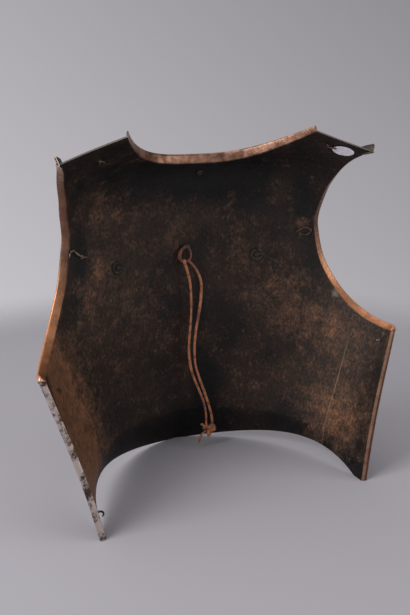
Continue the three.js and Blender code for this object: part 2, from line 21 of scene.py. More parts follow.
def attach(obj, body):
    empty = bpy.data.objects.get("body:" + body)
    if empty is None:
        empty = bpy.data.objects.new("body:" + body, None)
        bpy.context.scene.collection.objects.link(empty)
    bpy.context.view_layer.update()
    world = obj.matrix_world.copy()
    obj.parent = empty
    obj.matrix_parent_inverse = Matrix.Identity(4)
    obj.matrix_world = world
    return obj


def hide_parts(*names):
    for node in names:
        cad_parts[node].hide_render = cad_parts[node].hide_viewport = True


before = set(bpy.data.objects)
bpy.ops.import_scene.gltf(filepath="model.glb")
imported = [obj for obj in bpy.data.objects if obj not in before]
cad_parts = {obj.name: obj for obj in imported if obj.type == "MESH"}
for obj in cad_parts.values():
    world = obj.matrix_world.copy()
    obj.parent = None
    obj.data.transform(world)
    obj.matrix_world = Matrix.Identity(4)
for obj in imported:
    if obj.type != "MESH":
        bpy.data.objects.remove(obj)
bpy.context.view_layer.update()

BODY = "root"
MILLIMETRE = 0.001  # one millimetre in the frame's metres
REAR_TO_CENTRE = 93.68  # the frame's origin lies this far in front of the rear corners' line
SHEET = 1.5  # thickness of the plate
LACE_RADIUS = 1.55  # of the lace where it hangs
MIRROR = np.array([-1.0, 1.0, 1.0])  # turns points of the right side over to the left
LEVEL = np.array([1.0, 1.0, 0.0])  # keeps what runs across and forwards
HAMMERING = 7  # seeds the hammered unevenness, so that it is the same in every run

log = logging.getLogger("breastplate")


class Side(Enum):
    """The two sides of the plate, as the sign of x."""

    LEFT = -1
    RIGHT = 1


class Stain(Enum):
    """What has settled on the inner face; the soot also carries shade painted under the neckline."""

    RUST = "rust"
    SOOT_AND_SHADE = "soot"
    RESIDUE = "residue"


class Kind(Enum):
    """The shader nodes that the finishes are built from."""

    ATTRIBUTE = "ShaderNodeAttribute"
    BACKGROUND = "ShaderNodeBackground"
    BUMP = "ShaderNodeBump"
    COORDINATES = "ShaderNodeTexCoord"
    DIFFUSE = "ShaderNodeBsdfDiffuse"
    MAP_RANGE = "ShaderNodeMapRange"
    MAPPING = "ShaderNodeMapping"
    MATH = "ShaderNodeMath"
    MIX = "ShaderNodeMix"
    MIX_SHADER = "ShaderNodeMixShader"
    NOISE = "ShaderNodeTexNoise"
    OUTPUT = "ShaderNodeOutputMaterial"
    PRINCIPLED = "ShaderNodeBsdfPrincipled"
    SEPARATE = "ShaderNodeSeparateXYZ"
    TRANSPARENT = "ShaderNodeBsdfTransparent"
    VECTOR_MATH = "ShaderNodeVectorMath"
    WORLD_OUTPUT = "ShaderNodeOutputWorld"


COLOURS = {"data_type": "RGBA"}  # settings of a mix of two colours
SMOOTH = {"interpolation_type": "SMOOTHSTEP"}  # settings of a range with soft ends
ADD, SUBTRACT, MULTIPLY, MULTIPLY_ADD, ABSOLUTE, SCALE, LENGTH = (
    {"operation": name}
    for name in ("ADD", "SUBTRACT", "MULTIPLY", "MULTIPLY_ADD", "ABSOLUTE", "SCALE", "LENGTH")
)


# ---- Numbers ------------------------------------------------------------------------------------


def mix(low: Any, high: Any, share: Any) -> Any:
    """Goes from low to high as share goes from 0 to 1."""
    return low + (high - low) * share


def smoothstep(value: Any, start: float, end: float) -> Any:
    """Rises smoothly from 0 at start to 1 at end."""
    share = np.clip((value - start) / (end - start), 0.0, 1.0)
    return share * share * (3.0 - 2.0 * share)


def unit(vectors: np.ndarray) -> np.ndarray:
    """Scales each vector to length one."""
    return vectors / np.maximum(np.linalg.norm(vectors, axis=-1, keepdims=True), 1e-9)


def linear(colour: int) -> tuple[float, float, float, float]:
    """Turns an sRGB hex colour into the linear one that shaders take."""
    channels = [((colour >> shift) & 255) / 255.0 for shift in (16, 8, 0)]
    return (*[c / 12.92 if c <= 0.04045 else ((c + 0.055) / 1.055) ** 2.4 for c in channels], 1.0)


def per_metre(size: float) -> float:
    """Gives a pattern's scale from the size of one of its features in millimetres."""
    return 1.0 / (size * MILLIMETRE)


def circle(sides: int) -> np.ndarray:
    """Gives the points of a circle of radius one, as two columns."""
    swing = 2 * np.pi * np.arange(sides) / sides
    return np.stack([np.cos(swing), np.sin(swing)], axis=-1)


def to_frame(points: np.ndarray) -> np.ndarray:
    """Turns points in millimetres from the rear corners' line into the frame's metres."""
    return (points - np.array([0.0, REAR_TO_CENTRE, 0.0])) * MILLIMETRE


# ---- The plate's form -----------------------------------------------------------------------------


@dataclass(frozen=True)
class Section:
    """A horizontal section of the inner face: half a superellipse in front of the line y = back."""

    height: float
    half_width: float
    depth: float
    back: float
    power: float


@dataclass(frozen=True)
class Form:
    """The plate's inner face, a smooth surface through its sections."""

    sections: tuple[Section, ...] = (
        Section(height=0, half_width=142, depth=166, back=2, power=1.83),
        Section(height=44, half_width=152, depth=159, back=6, power=1.85),
        Section(height=90, half_width=165, depth=153, back=9, power=1.87),
        Section(height=156, half_width=188, depth=147, back=7, power=1.87),
        Section(height=210, half_width=208, depth=151, back=-1, power=1.95),
        Section(height=260, half_width=219, depth=159, back=-14, power=2.03),
        Section(height=300, half_width=222, depth=168, back=-29, power=1.93),
        Section(height=332, half_width=221, depth=171, back=-48, power=1.78),
        Section(height=350, half_width=220, depth=165, back=-67, power=1.72),
        Section(height=370, half_width=218, depth=157, back=-90, power=1.6),
    )
    ridge_rise: float = 1.5
    ridge_half_width: float = 10.0
    ridge_fade: tuple[float, float] = (225.0, 300.0)

    def column(self, key: str, height: np.ndarray) -> np.ndarray:
        """Gives one measure of the sections at any height.

        Args:
            key: The measure's name in Section.
            height: Heights in millimetres.

        Returns:
            The measure on a smooth curve through the sections.
        """
        heights = np.array([s.height for s in self.sections], float)
        values = np.array([getattr(s, key) for s in self.sections], float)
        spans = np.diff(heights)
        rises = np.diff(values) / spans
        inner = (rises[:-1] * spans[1:] + rises[1:] * spans[:-1]) / (spans[:-1] + spans[1:])
        slopes = np.concatenate([rises[:1], inner, rises[-1:]])
        height = np.asarray(height, float)
        k = np.searchsorted(heights[1:-1], height, side="left")
        t = (height - heights[k]) / spans[k]
        eased = mix(values[k], values[k + 1], t * t * (3 - 2 * t))
        return eased + spans[k] * t * (1 - t) * (slopes[k] * (1 - t) - slopes[k + 1] * t)

    def point(self, angle: np.ndarray, height: np.ndarray) -> np.ndarray:
        """Gives points of the inner face on the side with positive x.

        Args:
            angle: 0 at the front and a right angle at the side.
            height: Heights in millimetres.

        Returns:
            The points, in millimetres.
        """
        angle, height = np.broadcast_arrays(np.asarray(angle, float), np.asarray(height, float))
        power = 2.0 / self.column("power", height)
        x = self.column("half_width", height) * np.maximum(np.sin(angle), 0.0) ** power
        back, depth = self.column("back", height), self.column("depth", height)
        y = back + depth * np.maximum(np.cos(angle), 0.0) ** power
        fade = 1.0 - smoothstep(height, *self.ridge_fade)
        ridge = fade * self.ridge_rise * np.maximum(0.0, 1.0 - x / self.ridge_half_width)
        return np.stack([x, y + ridge, height], axis=-1)

    def angle_at_width(self, x: np.ndarray, height: np.ndarray) -> np.ndarray:
        """Gives the angle at which the face is x wide."""
        share = np.clip(np.asarray(x) / self.column("half_width", height), 0.0, 1.0)
        return np.arcsin(share ** (self.column("power", height) / 2))

    def angle_at_depth(self, y: np.ndarray, height: np.ndarray) -> np.ndarray:
        """Gives the angle at which the face is y deep.

        Args:
            y: Depths in millimetres.
            height: Heights in millimetres.

        Returns:
            The angles.
        """
        back, depth = self.column("back", height), self.column("depth", height)
        share = np.clip((np.asarray(y) - back) / depth, 0.0, 1.0)
        return np.arccos(share ** (self.column("power", height) / 2))

    def normal(self, angle: np.ndarray, height: np.ndarray) -> np.ndarray:
        """Gives the outward normals of the face.

        Args:
            angle: 0 at the front and a right angle at the side.
            height: Heights in millimetres.

        Returns:
            Vectors of length one.
        """
        step = 0.02
        inner = np.maximum(np.asarray(angle, float) - step, 1e-4)
        across = self.point(angle + step, height) - self.point(inner, height)
        up = self.point(angle, np.asarray(height) + 1.0) - self.point(angle, np.asarray(height) - 1.0)
        return unit(np.cross(up, across))


@dataclass(frozen=True)
class Border:
    """A turned border: how far it turns outwards, its width, and the roll along its edge."""

    turn: float
    width: float
    roll: float
    lap: float
    end_turn: float = 0.0
    end_loss: float = 0.0
    end_roll: float = 1.0  # how much of the roll is left where the border ends
    bend_cells: int = 4
    straight_cells: int = 3
    roll_cells: int = 9
    bend_share: float = 0.18  # how much of the width is taken by the bend off the plate

    def profile(self, share: float) -> np.ndarray:
        """Gives the border's section as steps off the plate and outwards.

        Args:
            share: How far along its line the section is.

        Returns:
            One row of two numbers for each point, without the one on the plate.
        """
        angle = math.radians(self.turn + self.end_turn * share**1.5)
        reach = self.width - self.end_loss * share**3
        roll = self.roll * mix(1.0, self.end_roll, share**3)
        bend = self.bend_share * reach
        radius = bend / (2 * math.sin(angle / 2))
        swing = angle * np.arange(1, self.bend_cells + 1) / self.bend_cells
        bent = np.stack([radius * np.sin(swing), radius * (1 - np.cos(swing))], axis=-1)
        straight = reach - bend - roll
        along = straight * np.arange(1, self.straight_cells + 1) / self.straight_cells
        flat = np.stack([along, np.zeros_like(along)], axis=-1)
        turn = math.pi * np.arange(1, self.roll_cells + 1) / self.roll_cells
        rolled = np.stack([straight + roll * np.sin(turn), roll * (1 - np.cos(turn))], axis=-1)
        lap = np.array([[straight - self.lap * reach / self.width, 2 * roll]])
        rest = np.concatenate([flat, rolled, lap])
        turned = np.array([[math.cos(angle), math.sin(angle)], [-math.sin(angle), math.cos(angle)]])
        return np.concatenate([bent, bent[-1] + rest @ turned])


@dataclass(frozen=True)
class Patch:
    """A grid of points of the plate's inner skin, with values for its finish at each point.

    across runs from 0 on the plate to 1 at the far side of a border's roll; border is 1 past the
    bend, hem is 1 on the flanks' rolled hems, and skirt is 1 below the waist.
    """

    points: np.ndarray
    across: np.ndarray
    border: np.ndarray
    hem: np.ndarray
    skirt: np.ndarray

    @staticmethod
    def flat(points: np.ndarray, skirt_rows: int = 0) -> "Patch":
        """Makes a patch of the body or the skirt.

        Args:
            points: The grid.
            skirt_rows: How many of its first rows belong to the skirt.

        Returns:
            The patch.
        """
        none = np.zeros(points.shape[:2])
        skirt = none.copy()
        skirt[:skirt_rows] = 1.0
        return Patch(points, none, none, none, skirt)

    @staticmethod
    def turned(points: np.ndarray, bend_cells: int, hem: Any = 0.0) -> "Patch":
        """Makes a patch of a border whose section runs along the rows.

        Args:
            points: The grid.
            bend_cells: How many of its first columns lie in the bend.
            hem: How much each row belongs to a flank's hem.

        Returns:
            The patch.
        """
        steps = np.arange(points.shape[1])
        across = np.broadcast_to(steps / steps[-1], points.shape[:2])
        border = np.broadcast_to(np.clip(steps / bend_cells, 0.0, 1.0), points.shape[:2])
        return Patch(points, across, border, border * np.reshape(hem, (-1, 1)), np.zeros(points.shape[:2]))

    def flipped(self) -> "Patch":
        """Gives the same patch on the other side of the plate."""
        values = (v[:, ::-1] for v in (self.across, self.border, self.hem, self.skirt))
        return Patch((self.points * MIRROR)[:, ::-1], *values)


@dataclass(frozen=True)
class Outline:
    """The plate's outline: flanks, armholes, neckline, waist and skirt."""

    form: Form = Form()
    flank_top: float = 156.0
    last_row_below: float = 2.5  # how far below its top the flank's last row of cells lies
    flank_rear: tuple[float, float] = (3.3, 27.0)  # depth of the rear edge at the floor and the top
    armhole_centre: tuple[float, float] = (27.0, 255.0)
    armhole_reach: float = 84.6
    armhole_spread: tuple[float, float] = (99.0, 90.5)  # below and above its centre
    armhole_power: tuple[float, float] = (2.14, 1.86)
    armhole_top: float = 79.0
    neck_height: float = 331.0
    neck_rise: float = 34.6
    neck_half_width: float = 97.5
    neck_power: float = 3.0
    waist_height: float = 44.0
    waist_drop: float = 30.0
    waist_power: float = 3.0
    skirt_flare: float = 15.0
    skirt_flare_power: float = 1.5
    skirt_flare_rise: float = 1.2
    skirt_arch: float = 18.0
    skirt_arch_end: float = 0.94
    skirt_arch_power: float = 1.6
    neck_border: Border = Border(turn=60, width=11, end_loss=4.5, roll=2.1, lap=4, end_roll=0.4)
    arm_border: Border = Border(
        turn=37, end_turn=40, width=9.3, end_loss=0.6, roll=1.6, lap=3.2, end_roll=0.3
    )
    flank_border: Border = Border(turn=75, width=6.8, roll=1.8, lap=2)
    blend_power: float = 5.0  # how soon the waist's and the neckline's curves die out in the body
    neck_cells: int = 48
    shoulder_cells: int = 24
    flank_cells: int = 30
    armhole_cells: int = 70
    skirt_cells: int = 14
    corner_cells: int = 10

    def flank_angle(self, height: np.ndarray) -> np.ndarray:
        """Gives the angle of the flank's rear edge."""
        return self.form.angle_at_depth(mix(*self.flank_rear, np.asarray(height) / self.flank_top), height)

    def armhole(self, degrees: np.ndarray) -> tuple[np.ndarray, np.ndarray]:
        """Gives the armhole's angles and heights.

        Args:
            degrees: -90 at the flank's top, and up to armhole_top at the shoulder's end.

        Returns:
            The angles and the heights.
        """
        swing = np.radians(degrees)
        upper = (np.asarray(degrees) > 0).astype(int)
        power = 2.0 / np.array(self.armhole_power)[upper]
        y = self.armhole_centre[0] + self.armhole_reach * np.abs(np.cos(swing)) ** power
        spread = np.array(self.armhole_spread)[upper]
        height = self.armhole_centre[1] + np.sign(swing) * spread * np.abs(np.sin(swing)) ** power
        return self.form.angle_at_depth(y, height), height

    def side(self) -> tuple[np.ndarray, np.ndarray, np.ndarray]:
        """Follows the plate's edge up the flank and round the armhole.

        Returns:
            Angles, heights and shares of the whole length.
        """
        low = self.waist_height - self.waist_drop
        flank = np.linspace(low, self.flank_top - self.last_row_below, self.flank_cells)
        arm_angle, arm_height = self.armhole(np.linspace(-90.0, self.armhole_top, self.armhole_cells + 1))
        angle = np.concatenate([self.flank_angle(flank), arm_angle])
        height = np.concatenate([flank, arm_height])
        steps = np.linalg.norm(np.diff(self.form.point(angle, height), axis=0), axis=-1)
        length = np.concatenate([[0.0], np.cumsum(steps)])
        return angle, height, length / length[-1]

    def waist(self, u: np.ndarray) -> tuple[np.ndarray, np.ndarray]:
        """Gives the waist's angles and heights at shares u from the front to the rear edge."""
        height = self.waist_height - self.waist_drop * u**self.waist_power
        return u * self.flank_angle(height), height

    def top(self, u: np.ndarray, end: np.ndarray) -> tuple[np.ndarray, np.ndarray]:
        """Gives the angles and heights of the neckline and the straight shoulder.

        Args:
            u: Shares of the way from the middle to the shoulder's end.
            end: The shoulder's end point.

        Returns:
            The angles and the heights.
        """
        neck_share = self.neck_cells / (self.neck_cells + self.shoulder_cells)
        neck = u / neck_share
        shoulder = np.clip((u - neck_share) / (1 - neck_share), 0.0, 1.0)
        in_neck = u <= neck_share
        curve = self.neck_height + self.neck_rise * neck**self.neck_power
        straight = mix(self.neck_height + self.neck_rise, end[2], shoulder)
        height = np.where(in_neck, curve, straight)
        width = np.where(in_neck, self.neck_half_width * neck, mix(self.neck_half_width, end[0], shoulder))
        return self.form.angle_at_width(width, height), height

    def body(self, u: np.ndarray) -> tuple[np.ndarray, np.ndarray]:
        """Blends the four outlines into the angles and heights of the whole body.

        Args:
            u: Shares of the way from the middle to the edge.

        Returns:
            Angles and heights, a row for each place up the side.
        """
        side_angle, side_height, side_share = self.side()
        end = self.form.point(side_angle[-1], side_height[-1])
        lows, highs = self.waist(u), self.top(u, end)
        corners = [float(c) for c in self.waist(np.float64(1.0))]
        fronts = [(0.0, 0.0), (self.waist_height, self.neck_height)]
        v = side_share[:, None]
        blended = []
        for low, high, edge, corner, front, last in zip(
            lows, highs, (side_angle, side_height), corners, fronts, (side_angle[-1], side_height[-1])
        ):
            rows = mix(mix(*front, v), edge[:, None], u)
            rows = rows + (1 - v) ** self.blend_power * (low - mix(front[0], corner, u))
            blended.append(rows + v**self.blend_power * (high - mix(front[1], last, u)))
        return blended[0], blended[1]

    def skirt(self, u: np.ndarray, w: float) -> np.ndarray:
        """Gives a row of the skirt.

        Args:
            u: Shares of the way from the middle to the edge.
            w: 0 at the waist and 1 at the lower edge.

        Returns:
            The row's points.
        """
        share = np.minimum(u / self.skirt_arch_end, 1.0)
        arch = self.skirt_arch * np.sin(np.pi * share**self.skirt_arch_power)
        height = mix(self.waist(u)[1], np.maximum(arch, 0.0), w)
        angle = u * self.flank_angle(height)
        outward = self.form.normal(angle, np.maximum(height, 1.0)) * LEVEL
        outward = unit(np.where(u[:, None] == 0.0, np.array([0.0, 1.0, 0.0]), outward))
        flare = self.skirt_flare * (1 - u) ** self.skirt_flare_power * w**self.skirt_flare_rise
        return self.form.point(angle, height) + outward * flare[:, None]

    def bordered(self, line: np.ndarray, normal: np.ndarray, away: np.ndarray, border: Border) -> np.ndarray:
        """Sweeps a border's section along a line of the plate.

        Args:
            line: The line's points.
            normal: The plate's outward normal at each.
            away: The direction off the plate at each.
            border: The border.

        Returns:
            A row of points for each point of the line.
        """
        last = len(line) - 1
        rows = []
        for k, point in enumerate(line):
            steps = border.profile(k / last)
            turned = point + steps[:, :1] * away[k] + steps[:, 1:] * normal[k]
            rows.append(np.concatenate([point[None], turned]))
        return np.array(rows)

    def away(self, line: np.ndarray, normal: np.ndarray, off_plate: Sequence[float]) -> np.ndarray:
        """Gives the direction off the plate at each point of an edge line.

        Args:
            line: The line's points.
            normal: The plate's outward normal at each.
            off_plate: Points roughly off the plate, to choose between the line's two sides.

        Returns:
            Vectors of length one, square to the line and the normal.
        """
        tangent = np.empty_like(line)
        tangent[1:-1] = line[2:] - line[:-2]
        tangent[0], tangent[-1] = line[1] - line[0], line[-1] - line[-2]
        off = unit(np.cross(tangent, normal))
        return off * np.sign(off @ np.array(off_plate))[:, None]

    def patches(self) -> tuple[list[Patch], np.ndarray]:
        """Makes every patch of the inner skin.

        Returns:
            The patches, and the points of the free and bordered edges.
        """
        half = self.neck_cells + self.shoulder_cells
        u = np.arange(half + 1) / half

        def across(row: np.ndarray) -> np.ndarray:
            """Runs a row from the left edge to the right one."""
            return np.concatenate([(row * MIRROR)[..., :0:-1, :], row], axis=-2)

        right = self.form.point(*self.body(u))
        skirt_rows = [self.skirt(u, k / self.skirt_cells) for k in range(self.skirt_cells, 0, -1)]
        skirt = np.stack([*skirt_rows, right[0]])
        body = Patch.flat(across(right))
        flared = Patch.flat(across(skirt), self.skirt_cells)

        side_angle, side_height, _ = self.side()
        angle, height = self.top(u[: self.neck_cells + 1], right[-1, -1])
        line = right[-1, : self.neck_cells + 1]
        normal = self.form.normal(angle, height)
        normal[0] = unit(normal[0] * np.array([0.0, 1.0, 1.0]))
        neck_half = self.bordered(line, normal, self.away(line, normal, (0, 0, 1)), self.neck_border)
        whole = np.concatenate([(neck_half * MIRROR)[:0:-1], neck_half])
        neck = Patch.turned(whole[::-1], self.neck_border.bend_cells)

        arm_rows = slice(self.flank_cells, None)
        line = right[arm_rows, -1]
        normal = self.form.normal(side_angle[arm_rows], side_height[arm_rows])
        arm_normal = normal[0]
        off = self.away(line, normal, (0.3, -1, 0.2))
        off[0] = (0.0, 0.0, 1.0)
        arm = Patch.turned(self.bordered(line, normal, off, self.arm_border), self.arm_border.bend_cells)

        line = np.concatenate([skirt[:-1, -1], right[: self.flank_cells + 1, -1]])
        normal = unit(self.form.normal(self.flank_angle(line[:, 2]), line[:, 2]) * LEVEL)
        off = np.stack([normal[:, 1], -normal[:, 0], np.zeros(len(line))], axis=-1)
        swept_hem = self.bordered(line, normal, off, self.flank_border)
        bend_cells = self.flank_border.bend_cells
        hem = Patch.turned(swept_hem, bend_cells, np.ones(len(swept_hem)))
        turn = self.cornered(line[-1], (normal[-1], arm_normal), off[-1])
        corner = Patch.turned(turn, bend_cells, np.linspace(1.0, 0.0, len(turn)))

        rims = [edge for side in (skirt[0], right[:, -1]) for edge in (side, side * MIRROR)]
        paired = [patch for one in (arm, corner, hem) for patch in (one, one.flipped())]
        return [body, flared, neck, *paired], np.concatenate([body.points[-1], *rims])

    def cornered(
        self, point: np.ndarray, normals: tuple[np.ndarray, np.ndarray], off: np.ndarray
    ) -> np.ndarray:
        """Turns the flank's border round into the armhole's at the flank's top.

        Args:
            point: The flank's top.
            normals: The plate's outward normal for either border.
            off: The direction off the flank's edge.

        Returns:
            A row of points for each step round the corner.
        """
        hem, arm = self.flank_border.profile(1.0), self.arm_border.profile(0.0)
        rows = []
        for share in np.linspace(0.0, 1.0, self.corner_cells + 1):
            swing = share * math.pi / 2
            away = off * math.cos(swing) + np.array([0.0, 0.0, math.sin(swing)])
            normal = unit(mix(*normals, share))
            steps = mix(hem, arm, share)
            rows.append(np.concatenate([point[None], point + steps[:, :1] * away + steps[:, 1:] * normal]))
        return np.array(rows)


FORM = Form()
OUTLINE = Outline()


# ---- Meshes ---------------------------------------------------------------------------------------

CRISP = 40.0  # edges of steel that turn by more degrees than this stay crisp
SOFT = 80.0  # the same for leather


def new_object(
    name: str, points: np.ndarray, faces: Sequence[Sequence[int]], sharp: float = CRISP
) -> bpy.types.Object:
    """Makes a smooth-shaded mesh object.

    Args:
        name: The piece's name.
        points: Vertices in millimetres from the rear corners' line.
        faces: Vertex numbers of each face.
        sharp: Edges that turn by more degrees than this stay crisp.

    Returns:
        The object, in the frame's metres.
    """
    mesh = bpy.data.meshes.new(name)
    mesh.from_pydata(to_frame(np.asarray(points, float)).tolist(), [], [list(map(int, f)) for f in faces])
    mesh.validate()
    mesh.shade_smooth()
    mesh.set_sharp_from_angle(angle=math.radians(sharp))
    made = bpy.data.objects.new(name, mesh)
    bpy.context.scene.collection.objects.link(made)
    return made


def dressed(
    piece: bpy.types.Object, material: bpy.types.Material, stands_for: Sequence[str]
) -> bpy.types.Object:
    """Gives a piece its finish and its place in the frame.

    Args:
        piece: The piece, already where it belongs.
        material: Its finish.
        stands_for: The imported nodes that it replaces.

    Returns:
        The piece.
    """
    piece.data.materials.clear()
    piece.data.materials.append(material)
    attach(piece, BODY)
    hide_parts(*stands_for)
    log.info("%s: %d faces, for %s", piece.name, len(piece.data.polygons), ", ".join(stands_for))
    return piece


@dataclass
class Shape:
    """Points and faces that pieces are put together from, in a local or the plate's frame."""

    points: np.ndarray
    faces: list[list[int]]

    @staticmethod
    def joined(shapes: Sequence["Shape"]) -> "Shape":
        """Puts several shapes into one.

        Args:
            shapes: The shapes, all in the same frame.

        Returns:
            One shape.
        """
        faces: list[list[int]] = []
        start = 0
        for shape in shapes:
            faces += [[start + n for n in face] for face in shape.faces]
            start += len(shape.points)
        return Shape(np.concatenate([s.points for s in shapes]), faces)

    @staticmethod
    def ring(grid: np.ndarray) -> "Shape":
        """Joins a grid of points that closes both ways, as on a ring.

        Args:
            grid: Rows of points.

        Returns:
            The ring.
        """
        rows, columns = grid.shape[:2]
        number = np.arange(rows * columns).reshape(rows, columns)
        over, ahead = np.roll(number, -1, axis=1), np.roll(number, -1, axis=0)
        quads = np.stack([number, over, np.roll(ahead, -1, axis=1), ahead], axis=-1)
        return Shape(grid.reshape(-1, 3), quads.reshape(-1, 4).tolist())

    @staticmethod
    def tube(rings: np.ndarray) -> "Shape":
        """Joins rings of points into a closed tube.

        Args:
            rings: One row of points for each ring.

        Returns:
            The tube, with a point in the middle of each end.
        """
        count, sides = rings.shape[:2]
        points = np.concatenate([rings.reshape(-1, 3), rings[:1].mean(axis=1), rings[-1:].mean(axis=1)])
        faces = []
        for k in range(count - 1):
            for i in range(sides):
                j = (i + 1) % sides
                faces.append([k * sides + i, k * sides + j, (k + 1) * sides + j, (k + 1) * sides + i])
        first, last = count * sides, count * sides + 1
        for i in range(sides):
            j = (i + 1) % sides
            faces.append([first, j, i])
            faces.append([last, (count - 1) * sides + i, (count - 1) * sides + j])
        return Shape(points, faces)

    @staticmethod
    def turned(
        profile: Sequence[tuple[float, float]], sides: int, hammered: float = 0.0, seed: float = 0.0
    ) -> "Shape":
        """Turns a profile round the local y axis.

        Args:
            profile: Radius and height outwards of each point; the ends lie on the axis.
            sides: How many faces go round.
            hammered: How uneven the turned face is, in millimetres.
            seed: Moves the unevenness, so that no two are alike.

        Returns:
            The turned shape.
        """
        radius, height = (column[:, None] for column in np.array(profile, float).T)
        flat = circle(sides) * np.maximum(radius, 0.01)[..., None]
        level = np.broadcast_to(height, flat.shape[:2])
        shape = Shape.tube(np.stack([flat[..., 0], level, flat[..., 1]], axis=-1))
        if hammered > 0:
            for n, point in enumerate(shape.points):
                off = noise.noise_vector(Vector(point * 0.45) + Vector((seed, 0.0, seed)))
                shape.points[n] += hammered * np.array(off) * min(1.0, abs(point[1]) / 2.0 + 0.2)
        return shape

    def placed(self, spot: "Spot") -> "Shape":
        """Moves a local shape to a spot on the plate."""
        return Shape(spot.origin + self.points @ spot.axes, self.faces)


@dataclass(frozen=True)
class Spot:
    """A place on the inner face; its own x runs across, y outwards and z up."""

    origin: np.ndarray
    axes: np.ndarray
    turn: float
    angle: float

    @staticmethod
    def at(z: float, x: float | None = None, y: float | None = None, side: Side = Side.RIGHT) -> "Spot":
        """Finds the spot at a height and either x across or y forwards.

        Args:
            z: The height.
            x: How far across; negative is left.
            y: How far forwards, where x isn't given.
            side: Turns the spot over to the left.

        Returns:
            The spot.
        """
        angle = float(FORM.angle_at_depth(y, z) if x is None else FORM.angle_at_width(abs(x), z))
        turn = side.value * (-1.0 if x is not None and x < 0 else 1.0)
        point, normal = FORM.point(angle, z).copy(), FORM.normal(angle, z).copy()
        if x is not None and abs(x) < FORM.ridge_half_width:
            normal[0] = 0.0
            normal = unit(normal)
        point[0] *= turn
        normal[0] *= turn
        across = unit(np.cross(normal, np.array([0.0, 0.0, 1.0])))
        return Spot(point, np.array([across, normal, np.cross(across, normal)]), turn, angle)

    def on_face(self, across: float, up: float, lift: float) -> np.ndarray:
        """Gives a point above the inner face near the spot.

        Args:
            across: How far along the spot's own x.
            up: How far up.
            lift: How far inside the plate's face.

        Returns:
            The point, on the curved face and not on the spot's flat plane.
        """
        angle, height = self.angle, self.origin[2] + up * self.axes[2][2]
        flip = np.array([self.turn, 1.0, 1.0])
        for _ in range(6):
            point = FORM.point(angle, height) * flip
            ahead = FORM.point(angle + 1e-3, height) * flip
            rate = float((ahead - point) @ self.axes[0]) / 1e-3
            angle = max(angle + (across - float((point - self.origin) @ self.axes[0])) / rate, 0.0)
        return FORM.point(angle, height) * flip - FORM.normal(angle, height) * flip * lift


def point_tree(points: Sequence[Sequence[float]]) -> KDTree:
    """Makes a tree that finds the nearest of some points.

    Args:
        points: The points.

    Returns:
        The balanced tree.
    """
    tree = KDTree(len(points))
    for number, point in enumerate(points):
        tree.insert(Vector(point), number)
    tree.balance()
    return tree


def smooth_path(points: np.ndarray, count: int) -> np.ndarray:
    """Runs a centripetal spline through points.

    Args:
        points: The points to pass through.
        count: How many points to give back.

    Returns:
        Evenly spaced points of the spline.
    """
    points = np.asarray(points, float)
    padded = np.concatenate([[2 * points[0] - points[1]], points, [2 * points[-1] - points[-2]]])
    dense = []
    for k in range(len(points) - 1):
        p = padded[k : k + 4]
        knots = np.concatenate([[0.0], np.cumsum(np.sqrt(np.linalg.norm(np.diff(p, axis=0), axis=1)))])
        t = np.linspace(knots[1], knots[2], 40, endpoint=False)[:, None]
        level = [mix(p[i], p[i + 1], (t - knots[i]) / (knots[i + 1] - knots[i])) for i in range(3)]
        pair = [mix(level[i], level[i + 1], (t - knots[i]) / (knots[i + 2] - knots[i])) for i in range(2)]
        dense.append(mix(*pair, (t - knots[1]) / (knots[2] - knots[1])))
    dense = np.concatenate([*dense, points[-1:]])
    length = np.concatenate([[0.0], np.cumsum(np.linalg.norm(np.diff(dense, axis=0), axis=1))])
    wanted = np.linspace(0.0, length[-1], count)
    return np.stack([np.interp(wanted, length, dense[:, axis]) for axis in range(3)], axis=-1)


def swept(path: np.ndarray, section: Callable[[float], np.ndarray], up: Sequence[float] = (0, 1, 0)) -> Shape:
    """Sweeps a section along a path without twisting it.

    Args:
        path: The path's points.
        section: Gives the section's points, as two columns, at a share of the path.
        up: A direction that the section's second column starts from.

    Returns:
        The closed tube.
    """
    tangent = unit(np.gradient(path, axis=0))
    second = np.array(up, float)
    rings = []
    for k, point in enumerate(path):
        second = unit(second - tangent[k] * (second @ tangent[k]))
        first = np.cross(second, tangent[k])
        flat = section(k / (len(path) - 1))
        rings.append(point + flat[:, :1] * first + flat[:, 1:] * second)
    return Shape.tube(np.array(rings))


# ---- Finishes -------------------------------------------------------------------------------------


def add_node(
    tree: bpy.types.NodeTree,
    kind: Kind,
    settings: dict[str, Any] | None = None,
    sockets: dict[str, Any] | Sequence[Any] = (),
) -> bpy.types.Node:
    """Adds a node with its settings and links.

    In order, a range takes the value, the two ends that it runs between and what they become, and
    a mix takes the share, what it starts from and what it goes to.

    Args:
        tree: The material's node tree.
        kind: Which node.
        settings: The node's own properties.
        sockets: Values for inputs, by name or in order; a node or a socket is linked.

    Returns:
        The node.
    """
    made = tree.nodes.new(kind.value)
    for name, value in (settings or {}).items():
        setattr(made, name, value)
    inputs = [s for s in made.inputs if s.enabled]
    for key, value in sockets.items() if isinstance(sockets, dict) else enumerate(sockets):
        socket = inputs[key] if isinstance(key, int) else next(s for s in inputs if s.name == key)
        if isinstance(value, bpy.types.Node):
            value = next(s for s in value.outputs if s.enabled)
        if isinstance(value, bpy.types.NodeSocket):
            tree.links.new(value, socket)
        else:
            socket.default_value = value
    return made


def new_material(name: str) -> tuple[bpy.types.Material, bpy.types.NodeTree]:
    """Makes an empty node material.

    Args:
        name: Its name.

    Returns:
        The material and its node tree.
    """
    material = bpy.data.materials.new(name)
    material.use_nodes = True
    material.node_tree.nodes.clear()
    return material, material.node_tree


